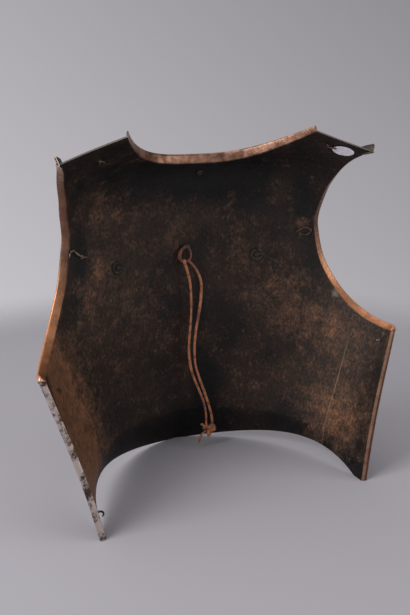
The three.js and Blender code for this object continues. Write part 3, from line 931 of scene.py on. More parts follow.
@dataclass(frozen=True)
class BlackenedSteel:
    """Mild steel plate, forged, blackened and waxed, then rusted brown in patches.

    The eye gets a near-black umber skin with blue-black scale and rust-brown bloom in it, a fine
    pitted grain, and borders rubbed down to a warm brown metal that still takes a highlight.
    """

    umber: int = 0x31261F
    scale_black: int = 0x171515
    rust_brown: int = 0x5A4233
    rust_orange: int = 0x835A40
    crust: int = 0x7C7A6C
    scratch: int = 0xB09A84
    rubbed: int = 0x9A7561
    rubbed_dark: int = 0x5C3F30
    dulled: int = 0x6E4F3E
    rubbed_orange: int = 0xC88A62
    hem_dark: int = 0x4A3C34
    lit_hem_grey: int = 0xC4B5AD
    hem_brown: int = 0x8E6C58
    outer_grey: int = 0x45403B
    cut_edge: int = 0x8B837C
    scribed_depth: float = 0.0247  # how far behind the middle the scribed line runs

    def material(self) -> bpy.types.Material:
        """Builds the material.

        Returns:
            The material.
        """
        material, tree = new_material("blackened_steel")
        node = partial(add_node, tree)
        place = node(Kind.COORDINATES).outputs["Object"]
        zone = {
            name: node(Kind.ATTRIBUTE, {"attribute_name": name}).outputs["Fac"]
            for name in ("across", "border", "hem", "skirt", "outer", "rust", "soot", "residue")
        }
        where = node(Kind.SEPARATE, None, (place,)).outputs
        cloud = node(
            Kind.NOISE, None, {"Vector": place, "Scale": per_metre(52), "Detail": 3.0, "Roughness": 0.55}
        )
        patch = node(
            Kind.NOISE, None, {"Vector": place, "Scale": per_metre(13), "Detail": 7.0, "Roughness": 0.7}
        )
        # The grain runs up the plate, as it was drawn out under the hammer.
        drawn = node(Kind.MAPPING, None, {"Vector": place, "Scale": (1.0, 1.0, 0.6)})
        grain = node(
            Kind.NOISE, None, {"Vector": drawn, "Scale": per_metre(2.3), "Detail": 4.0, "Roughness": 0.8}
        )

        # Blue-black scale lies where soot is, on the skirt and where the broad clouds are thick, and under
        # the neckline, where it is painted shade.
        sooted_and_shaded = node(Kind.MATH, ADD, (cloud, zone["soot"]))
        blacked = node(Kind.MATH, MULTIPLY_ADD, (zone["skirt"], 0.12, sooted_and_shaded))
        scale_share = node(Kind.MAP_RANGE, SMOOTH, (blacked, 0.42, 0.8))
        skin = node(Kind.MIX, COLOURS, (scale_share, linear(self.umber), linear(self.scale_black)))
        # Rust bloom: brown in ragged patches, orange-brown at their hearts, held back by the scale.
        ragged = node(Kind.MATH, MULTIPLY_ADD, (grain, 0.55, patch))
        blooming = node(Kind.MATH, ADD, (ragged, zone["rust"]))
        held = node(Kind.MATH, MULTIPLY_ADD, (blacked, -0.25, blooming))
        rust_share = node(Kind.MAP_RANGE, SMOOTH, (held, 0.62, 0.98, 0.0, 0.9))
        rusted = node(Kind.MIX, COLOURS, (rust_share, skin, linear(self.rust_brown)))
        heart = node(Kind.MAP_RANGE, SMOOTH, (held, 0.86, 1.2, 0.0, 0.85))
        hearted = node(Kind.MIX, COLOURS, (heart, rusted, linear(self.rust_orange)))
        # The open grain, drawn about twice as coarse as the real one so that it shows.
        speckle = node(Kind.MAP_RANGE, None, (grain, 0.32, 0.68, 0.52, 1.48))
        worked = node(Kind.MAP_RANGE, None, (patch, 0.34, 0.66, 0.8, 1.22))
        toned = node(Kind.MATH, MULTIPLY, (speckle, worked))
        speckled = node(Kind.VECTOR_MATH, SCALE, (hearted, toned))
        # A pale greenish crust is left in the crease of the right armhole.
        crusted = node(Kind.MATH, MULTIPLY_ADD, (zone["residue"], 1.6, patch))
        crust_share = node(Kind.MAP_RANGE, SMOOTH, (crusted, 0.75, 1.1, 0.0, 0.8))
        crust = node(Kind.MIX, COLOURS, (crust_share, speckled, linear(self.crust)))
        # A line scribed down the right flank, at one depth behind the middle, a little unsteady.
        leaned = node(Kind.MATH, MULTIPLY_ADD, (cloud, 0.004, where["Y"]))
        beside = node(Kind.MATH, ADD, (leaned, self.scribed_depth - 0.002))
        strayed = node(Kind.MATH, ABSOLUTE, (beside,))
        line = node(Kind.MAP_RANGE, None, (strayed, 0.2 * MILLIMETRE, 0.7 * MILLIMETRE, 0.3, 0.0))
        right = node(Kind.MAP_RANGE, None, (where["X"], 0.115, 0.14))
        low = node(Kind.MAP_RANGE, None, (where["Z"], 0.11, 0.15, 1.0, 0.0))
        lit = node(Kind.MATH, MULTIPLY, (line, right))
        scribed = node(Kind.MATH, MULTIPLY, (lit, low))
        inner = node(Kind.MIX, COLOURS, (scribed, crust, linear(self.scratch)))

        # Borders: the patina is rubbed through towards the outside of the roll, less so on the dark
        # middle of the armholes, and rusted orange low down. Towards the bend next to the plate each
        # border is darkened, which is painted shade.
        rub = node(Kind.MAP_RANGE, SMOOTH, (patch, 0.3, 0.68))
        rubbed = node(Kind.MIX, COLOURS, (rub, linear(self.rubbed_dark), linear(self.rubbed)))
        high = node(Kind.MAP_RANGE, SMOOTH, (where["Z"], 0.345, 0.31))
        dulled = node(Kind.MIX, COLOURS, (high, rubbed, linear(self.dulled)))
        foot = node(Kind.MAP_RANGE, SMOOTH, (where["Z"], 0.25, 0.165, 0.0, 0.95))
        footed = node(Kind.MIX, COLOURS, (foot, dulled, linear(self.rubbed_orange)))
        # Painted shade: darker at the bend next to the plate, lighter out on the rubbed roll.
        shade = node(Kind.MAP_RANGE, None, (zone["across"], 0.0, 0.5, 0.5, 1.25))
        mottle = node(Kind.MAP_RANGE, None, (ragged, 0.5, 0.9, 0.55, 1.4))
        shaded = node(Kind.MATH, MULTIPLY, (shade, mottle))
        rolled = node(Kind.VECTOR_MATH, SCALE, (footed, shaded))
        # Hems: on the left, pale grey where painted light falls from the left, broken by dark flakes; on the
        # right, a brown roll with painted shade in the crease where the roll begins.
        flaked = node(Kind.MAP_RANGE, SMOOTH, (patch, 0.42, 0.55))
        left_hem = node(Kind.MIX, COLOURS, (flaked, linear(self.hem_dark), linear(self.lit_hem_grey)))
        # Painted shade in the crease where the right hem's roll begins.
        off_crease = node(Kind.MATH, SUBTRACT, (zone["across"], 0.4))
        near_crease = node(Kind.MATH, ABSOLUTE, (off_crease,))
        crease = node(Kind.MAP_RANGE, SMOOTH, (near_crease, 0.02, 0.1, 0.3))
        browned = node(Kind.MATH, MULTIPLY, (crease, mottle))
        right_hem = node(Kind.VECTOR_MATH, SCALE, (linear(self.hem_brown)[:3], browned))
        # The left hem's pale grey, against the right hem's brown, is painted light from the left.
        on_right = node(Kind.MAP_RANGE, None, (where["X"], -0.05, 0.05))
        hemmed = node(Kind.MIX, COLOURS, (on_right, left_hem, right_hem))
        bordered = node(Kind.MIX, COLOURS, (zone["hem"], rolled, hemmed))
        faced = node(Kind.MIX, COLOURS, (zone["border"], inner, bordered))
        # The outer face is cleaner and greyer, with the patina left in its hollows.
        cleaned = node(Kind.MIX, COLOURS, (rub, linear(self.umber), linear(self.outer_grey)))
        whole = node(Kind.MIX, COLOURS, (zone["outer"], faced, cleaned))
        # Cut edges are bright where hands have rubbed them.
        other = node(Kind.MATH, SUBTRACT, (1.0, zone["outer"]))
        strip = node(Kind.MATH, MULTIPLY, (zone["outer"], other))
        cut = node(Kind.MAP_RANGE, None, (strip, 0.02, 0.16, 0.0, 0.75))
        edged = node(Kind.MIX, COLOURS, (cut, whole, linear(self.cut_edge)))

        pits = node(
            Kind.NOISE, None, {"Vector": place, "Scale": per_metre(1.4), "Detail": 4.0, "Roughness": 0.75}
        )
        relief = node(Kind.MATH, ADD, (pits, grain))
        bump = node(Kind.BUMP, None, {"Strength": 0.4, "Distance": 0.4 * MILLIMETRE, "Height": relief})
        worn = node(Kind.MAP_RANGE, None, (patch, 0.3, 0.7, 0.48, 0.7))
        rough = node(Kind.MIX, None, {"Factor": zone["border"], "A": worn, "B": 0.36})
        metal = node(Kind.MIX, None, {"Factor": zone["border"], "A": 0.6, "B": 0.85})
        shader = node(
            Kind.PRINCIPLED, None,
            {"Base Color": edged, "Roughness": rough, "Metallic": metal, "Normal": bump},
        )
        node(Kind.OUTPUT, None, {"Surface": shader})
        return material


@dataclass(frozen=True)
class FittingSteel:
    """Soft iron wire and rivets, forged black, rusted brown and rubbed bright at the tips."""

    dark: int = 0x2B2622
    rust: int = 0x5A4130
    bright: int = 0xB3A08E
    brightness: float = 0.3

    def material(self) -> bpy.types.Material:
        """Builds the material.

        Returns:
            The material.
        """
        material, tree = new_material(f"fitting_steel_{round(self.brightness * 100)}")
        node = partial(add_node, tree)
        place = node(Kind.COORDINATES).outputs["Object"]
        wear = node(
            Kind.NOISE, None, {"Vector": place, "Scale": per_metre(3), "Detail": 4.0, "Roughness": 0.7}
        )
        patch = node(Kind.NOISE, None, {"Vector": place, "Scale": per_metre(5), "Detail": 3.0})
        rust_share = node(Kind.MAP_RANGE, SMOOTH, (patch, 0.42, 0.66))
        skin = node(Kind.MIX, COLOURS, (rust_share, linear(self.dark), linear(self.rust)))
        worn = node(Kind.MAP_RANGE, SMOOTH, (wear, 0.4, 0.62, 0.0, self.brightness))
        colour = node(Kind.MIX, COLOURS, (worn, skin, linear(self.bright)))
        rough = node(Kind.MAP_RANGE, None, (worn, 0.0, 1.0, 0.62, 0.3))
        bump = node(Kind.BUMP, None, {"Strength": 0.3, "Distance": 0.3 * MILLIMETRE, "Height": wear})
        shader = node(
            Kind.PRINCIPLED, None,
            {"Base Color": colour, "Roughness": rough, "Metallic": 0.75, "Normal": bump},
        )
        node(Kind.OUTPUT, None, {"Surface": shader})
        return material


@dataclass(frozen=True)
class TannedLeather:
    """Bark-tanned leather cut into a round lace: dry, fibrous and darkened by handling."""

    name: str = "tanned_leather"
    tan: int = 0xA8663F
    pale: int = 0xC79478
    dark: int = 0x5A2E1B

    def material(self) -> bpy.types.Material:
        """Builds the material.

        Returns:
            The material.
        """
        material, tree = new_material(self.name)
        node = partial(add_node, tree)
        place = node(Kind.COORDINATES).outputs["Object"]
        tone = node(
            Kind.NOISE, None, {"Vector": place, "Scale": per_metre(7), "Detail": 4.0, "Roughness": 0.6}
        )
        # Fibres run up the lace; they are drawn several times as coarse as real ones so that they show.
        squeezed = node(Kind.MAPPING, None, {"Vector": place, "Scale": (1.0, 1.0, 0.2)})
        fibre = node(
            Kind.NOISE, None,
            {"Vector": squeezed, "Scale": per_metre(0.7), "Detail": 4.0, "Roughness": 0.75},
        )
        dark_share = node(Kind.MAP_RANGE, SMOOTH, (tone, 0.56, 0.36, 0.0, 0.85))
        base = node(Kind.MIX, COLOURS, (dark_share, linear(self.tan), linear(self.dark)))
        pale_share = node(Kind.MAP_RANGE, SMOOTH, (fibre, 0.5, 0.75, 0.0, 0.7))
        colour = node(Kind.MIX, COLOURS, (pale_share, base, linear(self.pale)))
        bump = node(Kind.BUMP, None, {"Strength": 0.5, "Distance": 0.25 * MILLIMETRE, "Height": fibre})
        shader = node(
            Kind.PRINCIPLED, None,
            {
                "Base Color": colour, "Roughness": 0.72, "Normal": bump,
                "Sheen Weight": 0.15, "Sheen Roughness": 0.5,
            },
        )
        node(Kind.OUTPUT, None, {"Surface": shader})
        return material


@dataclass(frozen=True)
class LabelPaper:
    """Uncoated wove paper, slightly greyed: matt, with faint fibres and soiled in clouds."""

    paper: int = 0xEDE9F3
    soiled: int = 0xBDB6C2

    def material(self) -> bpy.types.Material:
        """Builds the material.

        Returns:
            The material.
        """
        material, tree = new_material("label_paper")
        node = partial(add_node, tree)
        place = node(Kind.COORDINATES).outputs["Object"]
        cloud = node(Kind.NOISE, None, {"Vector": place, "Scale": per_metre(6), "Detail": 4.0})
        # Paper fibres are drawn about ten times as coarse as real ones so that they show.
        fibre = node(Kind.NOISE, None, {"Vector": place, "Scale": per_metre(0.5), "Detail": 3.0})
        soil = node(Kind.MAP_RANGE, None, (cloud, 0.45, 0.8, 0.0, 0.8))
        colour = node(Kind.MIX, COLOURS, (soil, linear(self.paper), linear(self.soiled)))
        bump = node(Kind.BUMP, None, {"Strength": 0.2, "Distance": 0.1 * MILLIMETRE, "Height": fibre})
        shader = node(Kind.PRINCIPLED, None, {"Base Color": colour, "Roughness": 0.9, "Normal": bump})
        node(Kind.OUTPUT, None, {"Surface": shader})
        return material


@dataclass(frozen=True)
class StudioPaper:
    """A sheet of pale grey background paper that fades out towards its rim."""

    grey: int = 0xB1AEB3
    fade: tuple[float, float] = (0.56, 0.84)

    def material(self) -> bpy.types.Material:
        """Builds the material.

        Returns:
            The material.
        """
        material, tree = new_material("studio_paper")
        node = partial(add_node, tree)
        place = node(Kind.COORDINATES).outputs["Object"]
        reach = node(Kind.VECTOR_MATH, LENGTH, (place,))
        gone = node(Kind.MAP_RANGE, SMOOTH, (reach.outputs["Value"], self.fade[0], self.fade[1]))
        matt = node(Kind.DIFFUSE, None, {"Color": linear(self.grey)})
        clear = node(Kind.TRANSPARENT)
        shader = node(Kind.MIX_SHADER, None, (gone, matt, clear))
        node(Kind.OUTPUT, None, {"Surface": shader})
        return material


# ---- The plate ------------------------------------------------------------------------------------


@dataclass(frozen=True)
class StainMark:
    """A stain on the inner face: its middle, its half sizes round and up the plate, its depth."""

    kind: Stain
    x: float
    y: float
    z: float
    width: float
    height: float
    depth: float


# Middle x, y and z, half sizes round and up the plate, and depth of each stain
STAINS = tuple(StainMark(kind, *row) for kind, rows in {
    Stain.RUST: (
        (-106, 115, 295, 9, 40, 0.2), (-102, 129, 233, 9, 28, 0.2), (-118, 121, 205, 14, 24, 0.26),
        (-85, 126, 294, 16, 18, 0.14), (-10, 145, 262, 9, 20, 0.16), (-61, 143, 177, 30, 30, 0.1),
        (48, 139, 290, 7, 14, 0.16), (62, 139, 262, 8, 10, 0.14), (58, 142, 232, 10, 18, 0.2),
        (128, 115, 264, 12, 9, 0.3), (106, 127, 195, 26, 24, 0.24), (124, 112, 152, 22, 20, 0.26),
        (151, 86, 145, 20, 26, 0.26), (162, 58, 110, 30, 55, 0.1), (152, 60, 45, 40, 34, 0.4),
        (-165, 66, 150, 24, 34, 0.5), (-152, 56, 100, 44, 66, 0.65), (-135, 70, 45, 40, 40, 0.6),
    ),
    Stain.SOOT_AND_SHADE: (
        (-131, 96, 300, 9, 45, 0.35), (-125, 118, 245, 12, 40, 0.32), (17, 153, 150, 7, 75, 0.4),
        (26, 160, 70, 12, 40, 0.4), (122, 110, 299, 16, 26, 0.35), (138, 111, 236, 14, 30, 0.32),
        # The wide mark at (0, 140, 322) is painted shade under the neckline's roll, not soot.
        (56, 147, 139, 22, 26, 0.3), (96, 132, 228, 16, 22, 0.28), (0, 140, 322, 90, 20, 0.7),
        (60, 136, 300, 30, 26, 0.4), (0, 150, 20, 110, 16, 0.15),
    ),
    Stain.RESIDUE: (
        (157, 92, 186, 6, 12, 0.3), (181.8, 36, 150.8, 6, 6, 0.22), (13, 148, 200, 2.5, 3, 0.5),
    ),
}.items() for row in rows)


@dataclass(frozen=True)
class Plate:
    """The plate: body, skirt, turned borders and drilled holes, in one sheet."""

    dent_size: float = 55.0
    dent_depth: float = 0.35
    mark_size: float = 18.0
    mark_depth: float = 0.12
    level_below: float = 19.0  # the skirt's lower edge is cut level, below this height
    border_sheet: float = 0.8  # the sheet is hammered this thin where it is rolled over
    thinned_at: float = 0.4
    vent_x: float = 2.0
    vents: tuple[tuple[float, float], ...] = ((289.0, 1.6), (22.0, 1.5))  # height and radius of open holes
    cutter_reach: float = 6.0

    def relief(self, points: np.ndarray, clear: np.ndarray) -> np.ndarray:
        """Gives how far the sheet is dented at each point.

        Args:
            points: Points of the inner face.
            clear: How far each is from the plate's edges.

        Returns:
            Distances outwards, which fade to nothing at the edges.
        """
        weight = smoothstep(clear, 2.0, 26.0)
        dents = [noise.noise(Vector(p / self.dent_size)) for p in points]
        marks = [noise.noise(Vector(p / self.mark_size)) for p in points]
        return weight * (self.dent_depth * np.array(dents) + self.mark_depth * np.array(marks))

    def holes(self) -> Shape:
        """Makes a cutter for every hole.

        Returns:
            The cutters, as one shape.
        """
        bores = [(fitting.spot(), fitting.bore) for fitting in FITTINGS]
        bores += [(Spot.at(z, x=self.vent_x), radius) for z, radius in self.vents]
        cutters = []
        for spot, radius in bores:
            ends = (-self.cutter_reach, self.cutter_reach)
            profile = [(0.0, ends[0]), *((radius, end) for end in ends), (0.0, ends[1])]
            cutters.append(Shape.turned(profile, sides=20).placed(spot))
        return Shape.joined(cutters)

    def build(self, finish: BlackenedSteel) -> bpy.types.Object:
        """Makes the plate.

        Args:
            finish: The steel's finish.

        Returns:
            The dressed piece.
        """
        patches, edges = OUTLINE.patches()
        points = np.concatenate([p.points.reshape(-1, 3) for p in patches])
        # Points that patches share, to within two thousandths of a millimetre, become one.
        places = np.round(points * 500).astype(int)
        _, first, number = np.unique(places, axis=0, return_index=True, return_inverse=True)
        number = number.reshape(-1)
        faces, start = [], 0
        for patch in patches:
            rows, columns = patch.points.shape[:2]
            grid = number[start : start + rows * columns].reshape(rows, columns)
            corners = np.stack([grid[:-1, :-1], grid[:-1, 1:], grid[1:, 1:], grid[1:, :-1]], axis=-1)
            faces += [list(dict.fromkeys(c)) for c in corners.reshape(-1, 4).tolist()]
            start += rows * columns
        faces = [f for f in faces if len(f) > 2]
        inner = points[first]
        marks = {}
        for name in ("across", "border", "hem", "skirt"):
            marks[name] = np.full(len(first), np.inf)
            values = np.concatenate([getattr(p, name).reshape(-1) for p in patches])
            np.minimum.at(marks[name], number, values)

        rim = point_tree(edges)
        clear = np.array([rim.find(Vector(p))[2] for p in inner])
        clear = np.where(marks["border"] > 0, 0.0, clear)

        normal = self.normals(inner, faces)
        inner = inner + normal * self.relief(inner, clear)[:, None]
        level = inner[:, 2] < self.level_below
        normal[level] = unit(normal[level] * LEVEL)
        count = len(inner)
        skins = [*faces, *[[count + n for n in reversed(f)] for f in faces]]
        used = {(f[k - 1], f[k]) for f in faces for k in range(len(f))}
        strip = [[b, a, count + a, count + b] for a, b in used if (b, a) not in used]
        sheet = mix(SHEET, self.border_sheet, smoothstep(marks["across"], 0.0, self.thinned_at))[:, None]
        both = np.concatenate([inner, inner + normal * sheet])
        shell = new_object("breast_plate", both, skins + sorted(strip))

        marks |= self.stains(inner)
        zones = {name: np.concatenate([values, values]) for name, values in marks.items()}
        zones["outer"] = np.concatenate([np.zeros(count), np.ones(count)])
        self.drill(shell, zones)
        return dressed(shell, finish.material(), ["plate"])

    def normals(self, points: np.ndarray, faces: list[list[int]]) -> np.ndarray:
        """Gives the outward normal at each point of the inner skin.

        Args:
            points: The points.
            faces: Point numbers of each face.

        Returns:
            Vectors of length one.
        """
        corners = np.array([[f[0], f[1], f[2], f[-1]] for f in faces])
        a, b, c, d = (points[corners[:, k]] for k in range(4))
        outward = unit(np.cross(d - b, c - a))
        summed = np.zeros_like(points)
        for k in range(4):
            np.add.at(summed, corners[:, k], outward)
        return unit(summed)

    def stains(self, points: np.ndarray) -> dict[str, np.ndarray]:
        """Spreads the stains over points of the inner face.

        Args:
            points: The points.

        Returns:
            How deep each kind of stain is at each point.
        """
        depths = {kind.value: np.zeros(len(points)) for kind in Stain}
        for mark in STAINS:
            off = points - np.array([mark.x, mark.y, mark.z])
            reach = (off[:, 0] ** 2 + off[:, 1] ** 2) / mark.width**2 + (off[:, 2] / mark.height) ** 2
            depths[mark.kind.value] += mark.depth * np.exp(-reach)
        return depths

    def drill(self, shell: bpy.types.Object, zones: dict[str, np.ndarray]) -> None:
        """Cuts the holes and carries the zones over to the drilled mesh.

        Args:
            shell: The plate.
            zones: Values at each of its vertices.
        """
        before = [v.co.copy() for v in shell.data.vertices]
        cutters = self.holes()
        cutter = new_object("hole_cutters", cutters.points, cutters.faces)
        cut = shell.modifiers.new("holes", "BOOLEAN")
        cut.operation, cut.solver, cut.object = "DIFFERENCE", "EXACT", cutter
        evaluated = shell.evaluated_get(bpy.context.evaluated_depsgraph_get())
        drilled = bpy.data.meshes.new_from_object(evaluated)
        shell.modifiers.clear()
        shell.data = drilled
        bpy.data.objects.remove(cutter)
        drilled.shade_smooth()
        drilled.set_sharp_from_angle(angle=math.radians(CRISP))
        whole = point_tree(before)
        nearest = np.array([whole.find(v.co)[1] for v in drilled.vertices])
        for name, values in zones.items():
            layer = drilled.attributes.new(name, "FLOAT", "POINT")
            layer.data.foreach_set("value", values[nearest].astype(np.float32))


# ---- Fittings -------------------------------------------------------------------------------------


@dataclass(frozen=True)
class Fitting:
    """A thing fastened through the plate at one spot."""

    name: str
    z: float
    x: float | None = None
    y: float | None = None
    side: Side = Side.RIGHT
    head: float = 6.5
    bore: float = 2.4
    brightness: float = 0.3
    rust: int = 0x5A4130
    shank: float = 2.0
    seat: float = SHEET + 0.12  # the outer head's seat, off the inner face
    sides: int = 36
    hammered: float = 0.12

    def spot(self) -> Spot:
        """Gives the fitting's place on the plate."""
        return Spot.at(self.z, x=self.x, y=self.y, side=self.side)

    def head_profile(self, low: float) -> list[tuple[float, float]]:
        """Gives a domed outer head on a shank.

        Args:
            low: Where the shank ends, off the inner face.

        Returns:
            The radius and height of each point.
        """
        head, seat = self.head, self.seat
        shoulder, rise = seat + 0.5, head * 0.5
        dome = [(head * math.cos(a), shoulder + rise * math.sin(a)) for a in np.linspace(0.0, 1.45, 8)]
        neck = [(0.0, low), (self.shank, low), (self.shank, seat), (head - 0.3, seat)]
        return [*neck, *dome, (0.0, shoulder + rise)]

    def turned(self, profile: Sequence[tuple[float, float]], seed: float) -> Shape:
        """Turns a profile, hammers it and sets it in the fitting's place."""
        return Shape.turned(profile, self.sides, self.hammered, seed).placed(self.spot())

    def shapes(self) -> list[Shape]:
        """Makes the fitting's shapes, in the plate's frame."""
        return [self.turned(self.head_profile(-0.2), self.z)]

    def build(self) -> bpy.types.Object:
        """Makes and dresses the piece.

        Returns:
            The piece.
        """
        whole = Shape.joined(self.shapes())
        made = new_object(f"{self.name}_piece", whole.points, whole.faces)
        finish = FittingSteel(rust=self.rust, brightness=self.brightness)
        return dressed(made, finish.material(), [self.name])


@dataclass(frozen=True)
class Rivet(Fitting):
    """A rivet: domed outside and hammered over inside."""

    hammered: float = 0.22
    peen: float = 3.4  # radius of the end that is hammered over
    lift: float = 0.15  # gap under it
    crown: tuple[float, float, float] = (0.4, 1.1, 1.55)  # its rim, its dome and its whole height
    undercut: float = 0.94
    seed: float = 0.0

    def shapes(self) -> list[Shape]:
        """Makes the rivet.

        Returns:
            Its one shape.
        """
        rim, rise, whole = self.crown
        swing = np.linspace(1.5, 0.0, 7)
        dome = [(self.peen * math.cos(a), -self.lift - rim - rise * math.sin(a)) for a in swing]
        under = [(self.peen * self.undercut, -self.lift), (self.shank, -self.lift)]
        profile = [(0.0, -self.lift - whole), *dome, *under, *self.head_profile(0.0)[2:]]
        return [self.turned(profile, self.z + self.seed)]


@dataclass(frozen=True)
class Stud(Rivet):
    """A chest stud, with its end hammered over the washer inside."""

    rust: int = 0x2E2925
    hammered: float = 0.25
    peen: float = 3.1
    lift: float = 1.45
    crown: tuple[float, float, float] = (0.5, 1.2, 1.75)
    undercut: float = 0.9


@dataclass(frozen=True)
class Washer(Fitting):
    """A dished washer round a stud, worn at its rim."""

    rust: int = 0x2E2925
    hammered: float = 0.22
    radius: float = 7.5
    hole: float = 2.3
    gap: float = 0.15  # under the washer

    def shapes(self) -> list[Shape]:
        """Makes the washer.

        Returns:
            Its one shape.
        """
        r, hole = self.radius, self.hole
        # Radius and height of each point of the section, from the hole's foot round the raised rim.
        loop = [
            (hole, 0.0), (r * 0.97, 0.0), (r, 0.35), (r, 1.05), (r * 0.95, 1.5), (r * 0.86, 1.75),
            (r * 0.74, 1.55), (r * 0.6, 1.15), (hole + 0.8, 0.95), (hole, 0.9),
        ]
        rows = [
            [(radius * x, -self.gap - rise, radius * z) for radius, rise in loop]
            for x, z in circle(self.sides)
        ]
        made = Shape.ring(np.array(rows))
        for n, point in enumerate(made.points):
            off = noise.noise_vector(Vector(point * 0.3) + Vector((self.side.value * 3.0, 0.0, 5.0)))
            made.points[n] += np.array(off) * self.hammered * smoothstep(-point[1], 0.2, 1.2)
        return [made.placed(self.spot())]


@dataclass(frozen=True)
class Leg:
    """One leg of a pin: places along the inside as across, up and lift off the face."""

    course: tuple[tuple[float, float, float], ...]
    radius: float = 0.95
    flat: float = 0.7  # how thick the leg is for its width


@dataclass(frozen=True)
class Pin(Fitting):
    """A split pin: domed head outside, its legs bent over inside."""

    hammered: float = 0.15
    legs: tuple[Leg, ...] = ()

    def leg(self, leg: Leg) -> Shape:
        """Makes one leg, tapered and flattened towards its tip.

        Args:
            leg: Its course and thickness.

        Returns:
            The leg, in the plate's frame.
        """
        spot = self.spot()
        across, up, lift = leg.course[0]
        aside = spot.axes[0] * across * 0.5 + spot.axes[2] * up * 0.5
        root = [spot.origin + spot.axes[1] * depth + aside for depth in (0.6, -lift * 0.7)]
        places = [spot.on_face(*place) for place in leg.course]
        path = smooth_path(np.array([*root, *places]), 14 * len(places))

        def section(share: float) -> np.ndarray:
            """Gives the leg's slightly lumpy section at a share of its length."""
            wide = leg.radius * (1.0 - 0.35 * float(smoothstep(share, 0.8, 1.0)))
            return circle(10) * wide * np.array([1.0 + 0.08 * math.sin(19.0 * share + self.z), leg.flat])

        return swept(path, section, up=spot.axes[1])

    def shapes(self) -> list[Shape]:
        """Makes the head and the legs."""
        return [self.turned(self.head_profile(-0.3), self.z), *(self.leg(leg) for leg in self.legs)]


CHEST = {"z": 227.0, "x": 81.0}  # where a stud and its washer sit, on either side
HOOK_LEG = Leg(((0.2, -0.6, 3.4), (0.4, -2.4, 5.0), (0.6, -5.0, 4.8), (0.4, -6.4, 3.2)), 1.1, 0.85)
FITTINGS: tuple[Fitting, ...] = (
    Stud("chest_stud_left", side=Side.LEFT, head=9.0, brightness=0.06, seed=-1.0, **CHEST),
    Stud("chest_stud_right", side=Side.RIGHT, head=9.0, brightness=0.1, seed=1.0, **CHEST),
    Pin("low_hook_left", y=24.0, z=18.0, side=Side.LEFT, head=5.0, legs=(HOOK_LEG,), brightness=0.15),
    Pin("low_hook_right", y=24.0, z=18.0, side=Side.RIGHT, head=5.0, legs=(HOOK_LEG,), brightness=0.2),
    Pin("arm_pin_left", x=-123.1, z=245.5, brightness=0.6, legs=(
        Leg((
            (-1.0, 0.5, 1.4), (-6.9, 4.2, 1.7), (-13.2, 8.6, 1.8), (-16.8, 7.4, 1.7), (-18.0, 2.8, 1.5)
        ), 1.15),
        Leg(((1.0, 0.0, 1.5), (3.8, -0.5, 1.6)), 1.3, 0.9),
    )),
    Pin("arm_pin_right", x=125.5, z=249.8, brightness=0.14, legs=(
        Leg(((1.0, 0.0, 1.4), (7.6, 0.2, 1.7), (10.6, 4.6, 1.7), (5.3, 8.2, 1.8), (-5.1, 3.4, 1.9)), 1.0),
    )),
    Pin("shoulder_pin_left", x=-115.5, z=344.0, brightness=0.25, legs=(
        Leg(((0.5, -0.5, 1.4), (2.0, -2.5, 1.7), (3.2, -5.4, 1.8)), 0.9),
        Leg(((1.5, 0.0, 1.4), (6.0, -1.0, 1.7), (8.4, -4.8, 1.8)), 0.9),
    )),
    Pin("shoulder_pin_right", x=120.0, z=350.0, head=5.0, brightness=0.5, legs=(
        Leg(((-0.2, 1.0, 1.4), (-0.8, 3.4, 1.7), (-1.0, 5.6, 1.7)), 0.85),
        Leg(((1.0, -0.3, 1.4), (5.0, -1.2, 1.7), (8.6, -2.4, 1.7)), 0.85),
    )),
    Pin("flank_pin_left", x=-165.5, z=132.5, head=6.0, brightness=0.35, legs=(
        Leg(((-1.0, 0.5, 1.4), (-5.0, 3.0, 1.7), (-8.3, 4.0, 1.7)), 0.9),
        Leg(((1.0, -0.5, 1.4), (3.2, -1.5, 1.6)), 0.9),
    )),
    Pin("flank_pin_right", x=178.6, z=143.2, head=4.0, brightness=0.6, legs=(
        Leg(((-1.0, 0.0, 1.4), (-4.0, -0.6, 1.8), (-6.5, -1.2, 1.8)), 1.15),
        Leg(((1.5, 0.5, 1.4), (3.2, 0.9, 1.6)), 1.0),
    )),
    Rivet("neck_rivet", x=9.0, z=321.5, head=4.5, peen=3.4, lift=0.5, brightness=0.05, rust=0x3A2E26),
    Rivet("flank_rivet", x=181.8, z=150.8, head=3.4, peen=3.0, lift=0.2, brightness=0.25),
)
WASHERS = (
    Washer("chest_washer_left", side=Side.LEFT, brightness=0.05, **CHEST),
    Washer("chest_washer_right", side=Side.RIGHT, brightness=0.1, **CHEST),
)


# ---- The lace -------------------------------------------------------------------------------------

# Route of each strand from the loop down to the knot
LEFT_STRAND = (
    (-6.2, 139.4, 228), (-2.2, 139.9, 216.5), (1.2, 140.9, 204.5), (3.1, 142, 189.5),
    (3.6, 142.7, 171.3), (3.4, 142.9, 162), (2.9, 143.1, 152.8), (2, 143.3, 143),
    (1.2, 143.5, 133.1), (1.1, 143.7, 123), (1.8, 143.9, 112.8), (5.2, 144.3, 95.4),
    (12.2, 144.8, 77.2), (19.2, 145.2, 58.7), (22.6, 145.6, 43), (23, 145.8, 30.6),
)
RIGHT_STRAND = (
    (-0.6, 139.4, 227.4), (6.2, 139.7, 219.4), (11.9, 140.6, 210), (15.2, 141.6, 199.6),
    (15.3, 142.5, 183.7), (14.2, 142.7, 174), (12.7, 142.9, 164.3), (9.4, 143.3, 145),
    (8.3, 143.5, 135), (7.8, 143.7, 125.2), (9.2, 144.1, 104.8), (14.3, 144.5, 87.1),
    (20.2, 144.9, 70.7), (25.6, 145.2, 54.1), (29.4, 145.6, 40.5), (30.8, 145.8, 30.6),
)


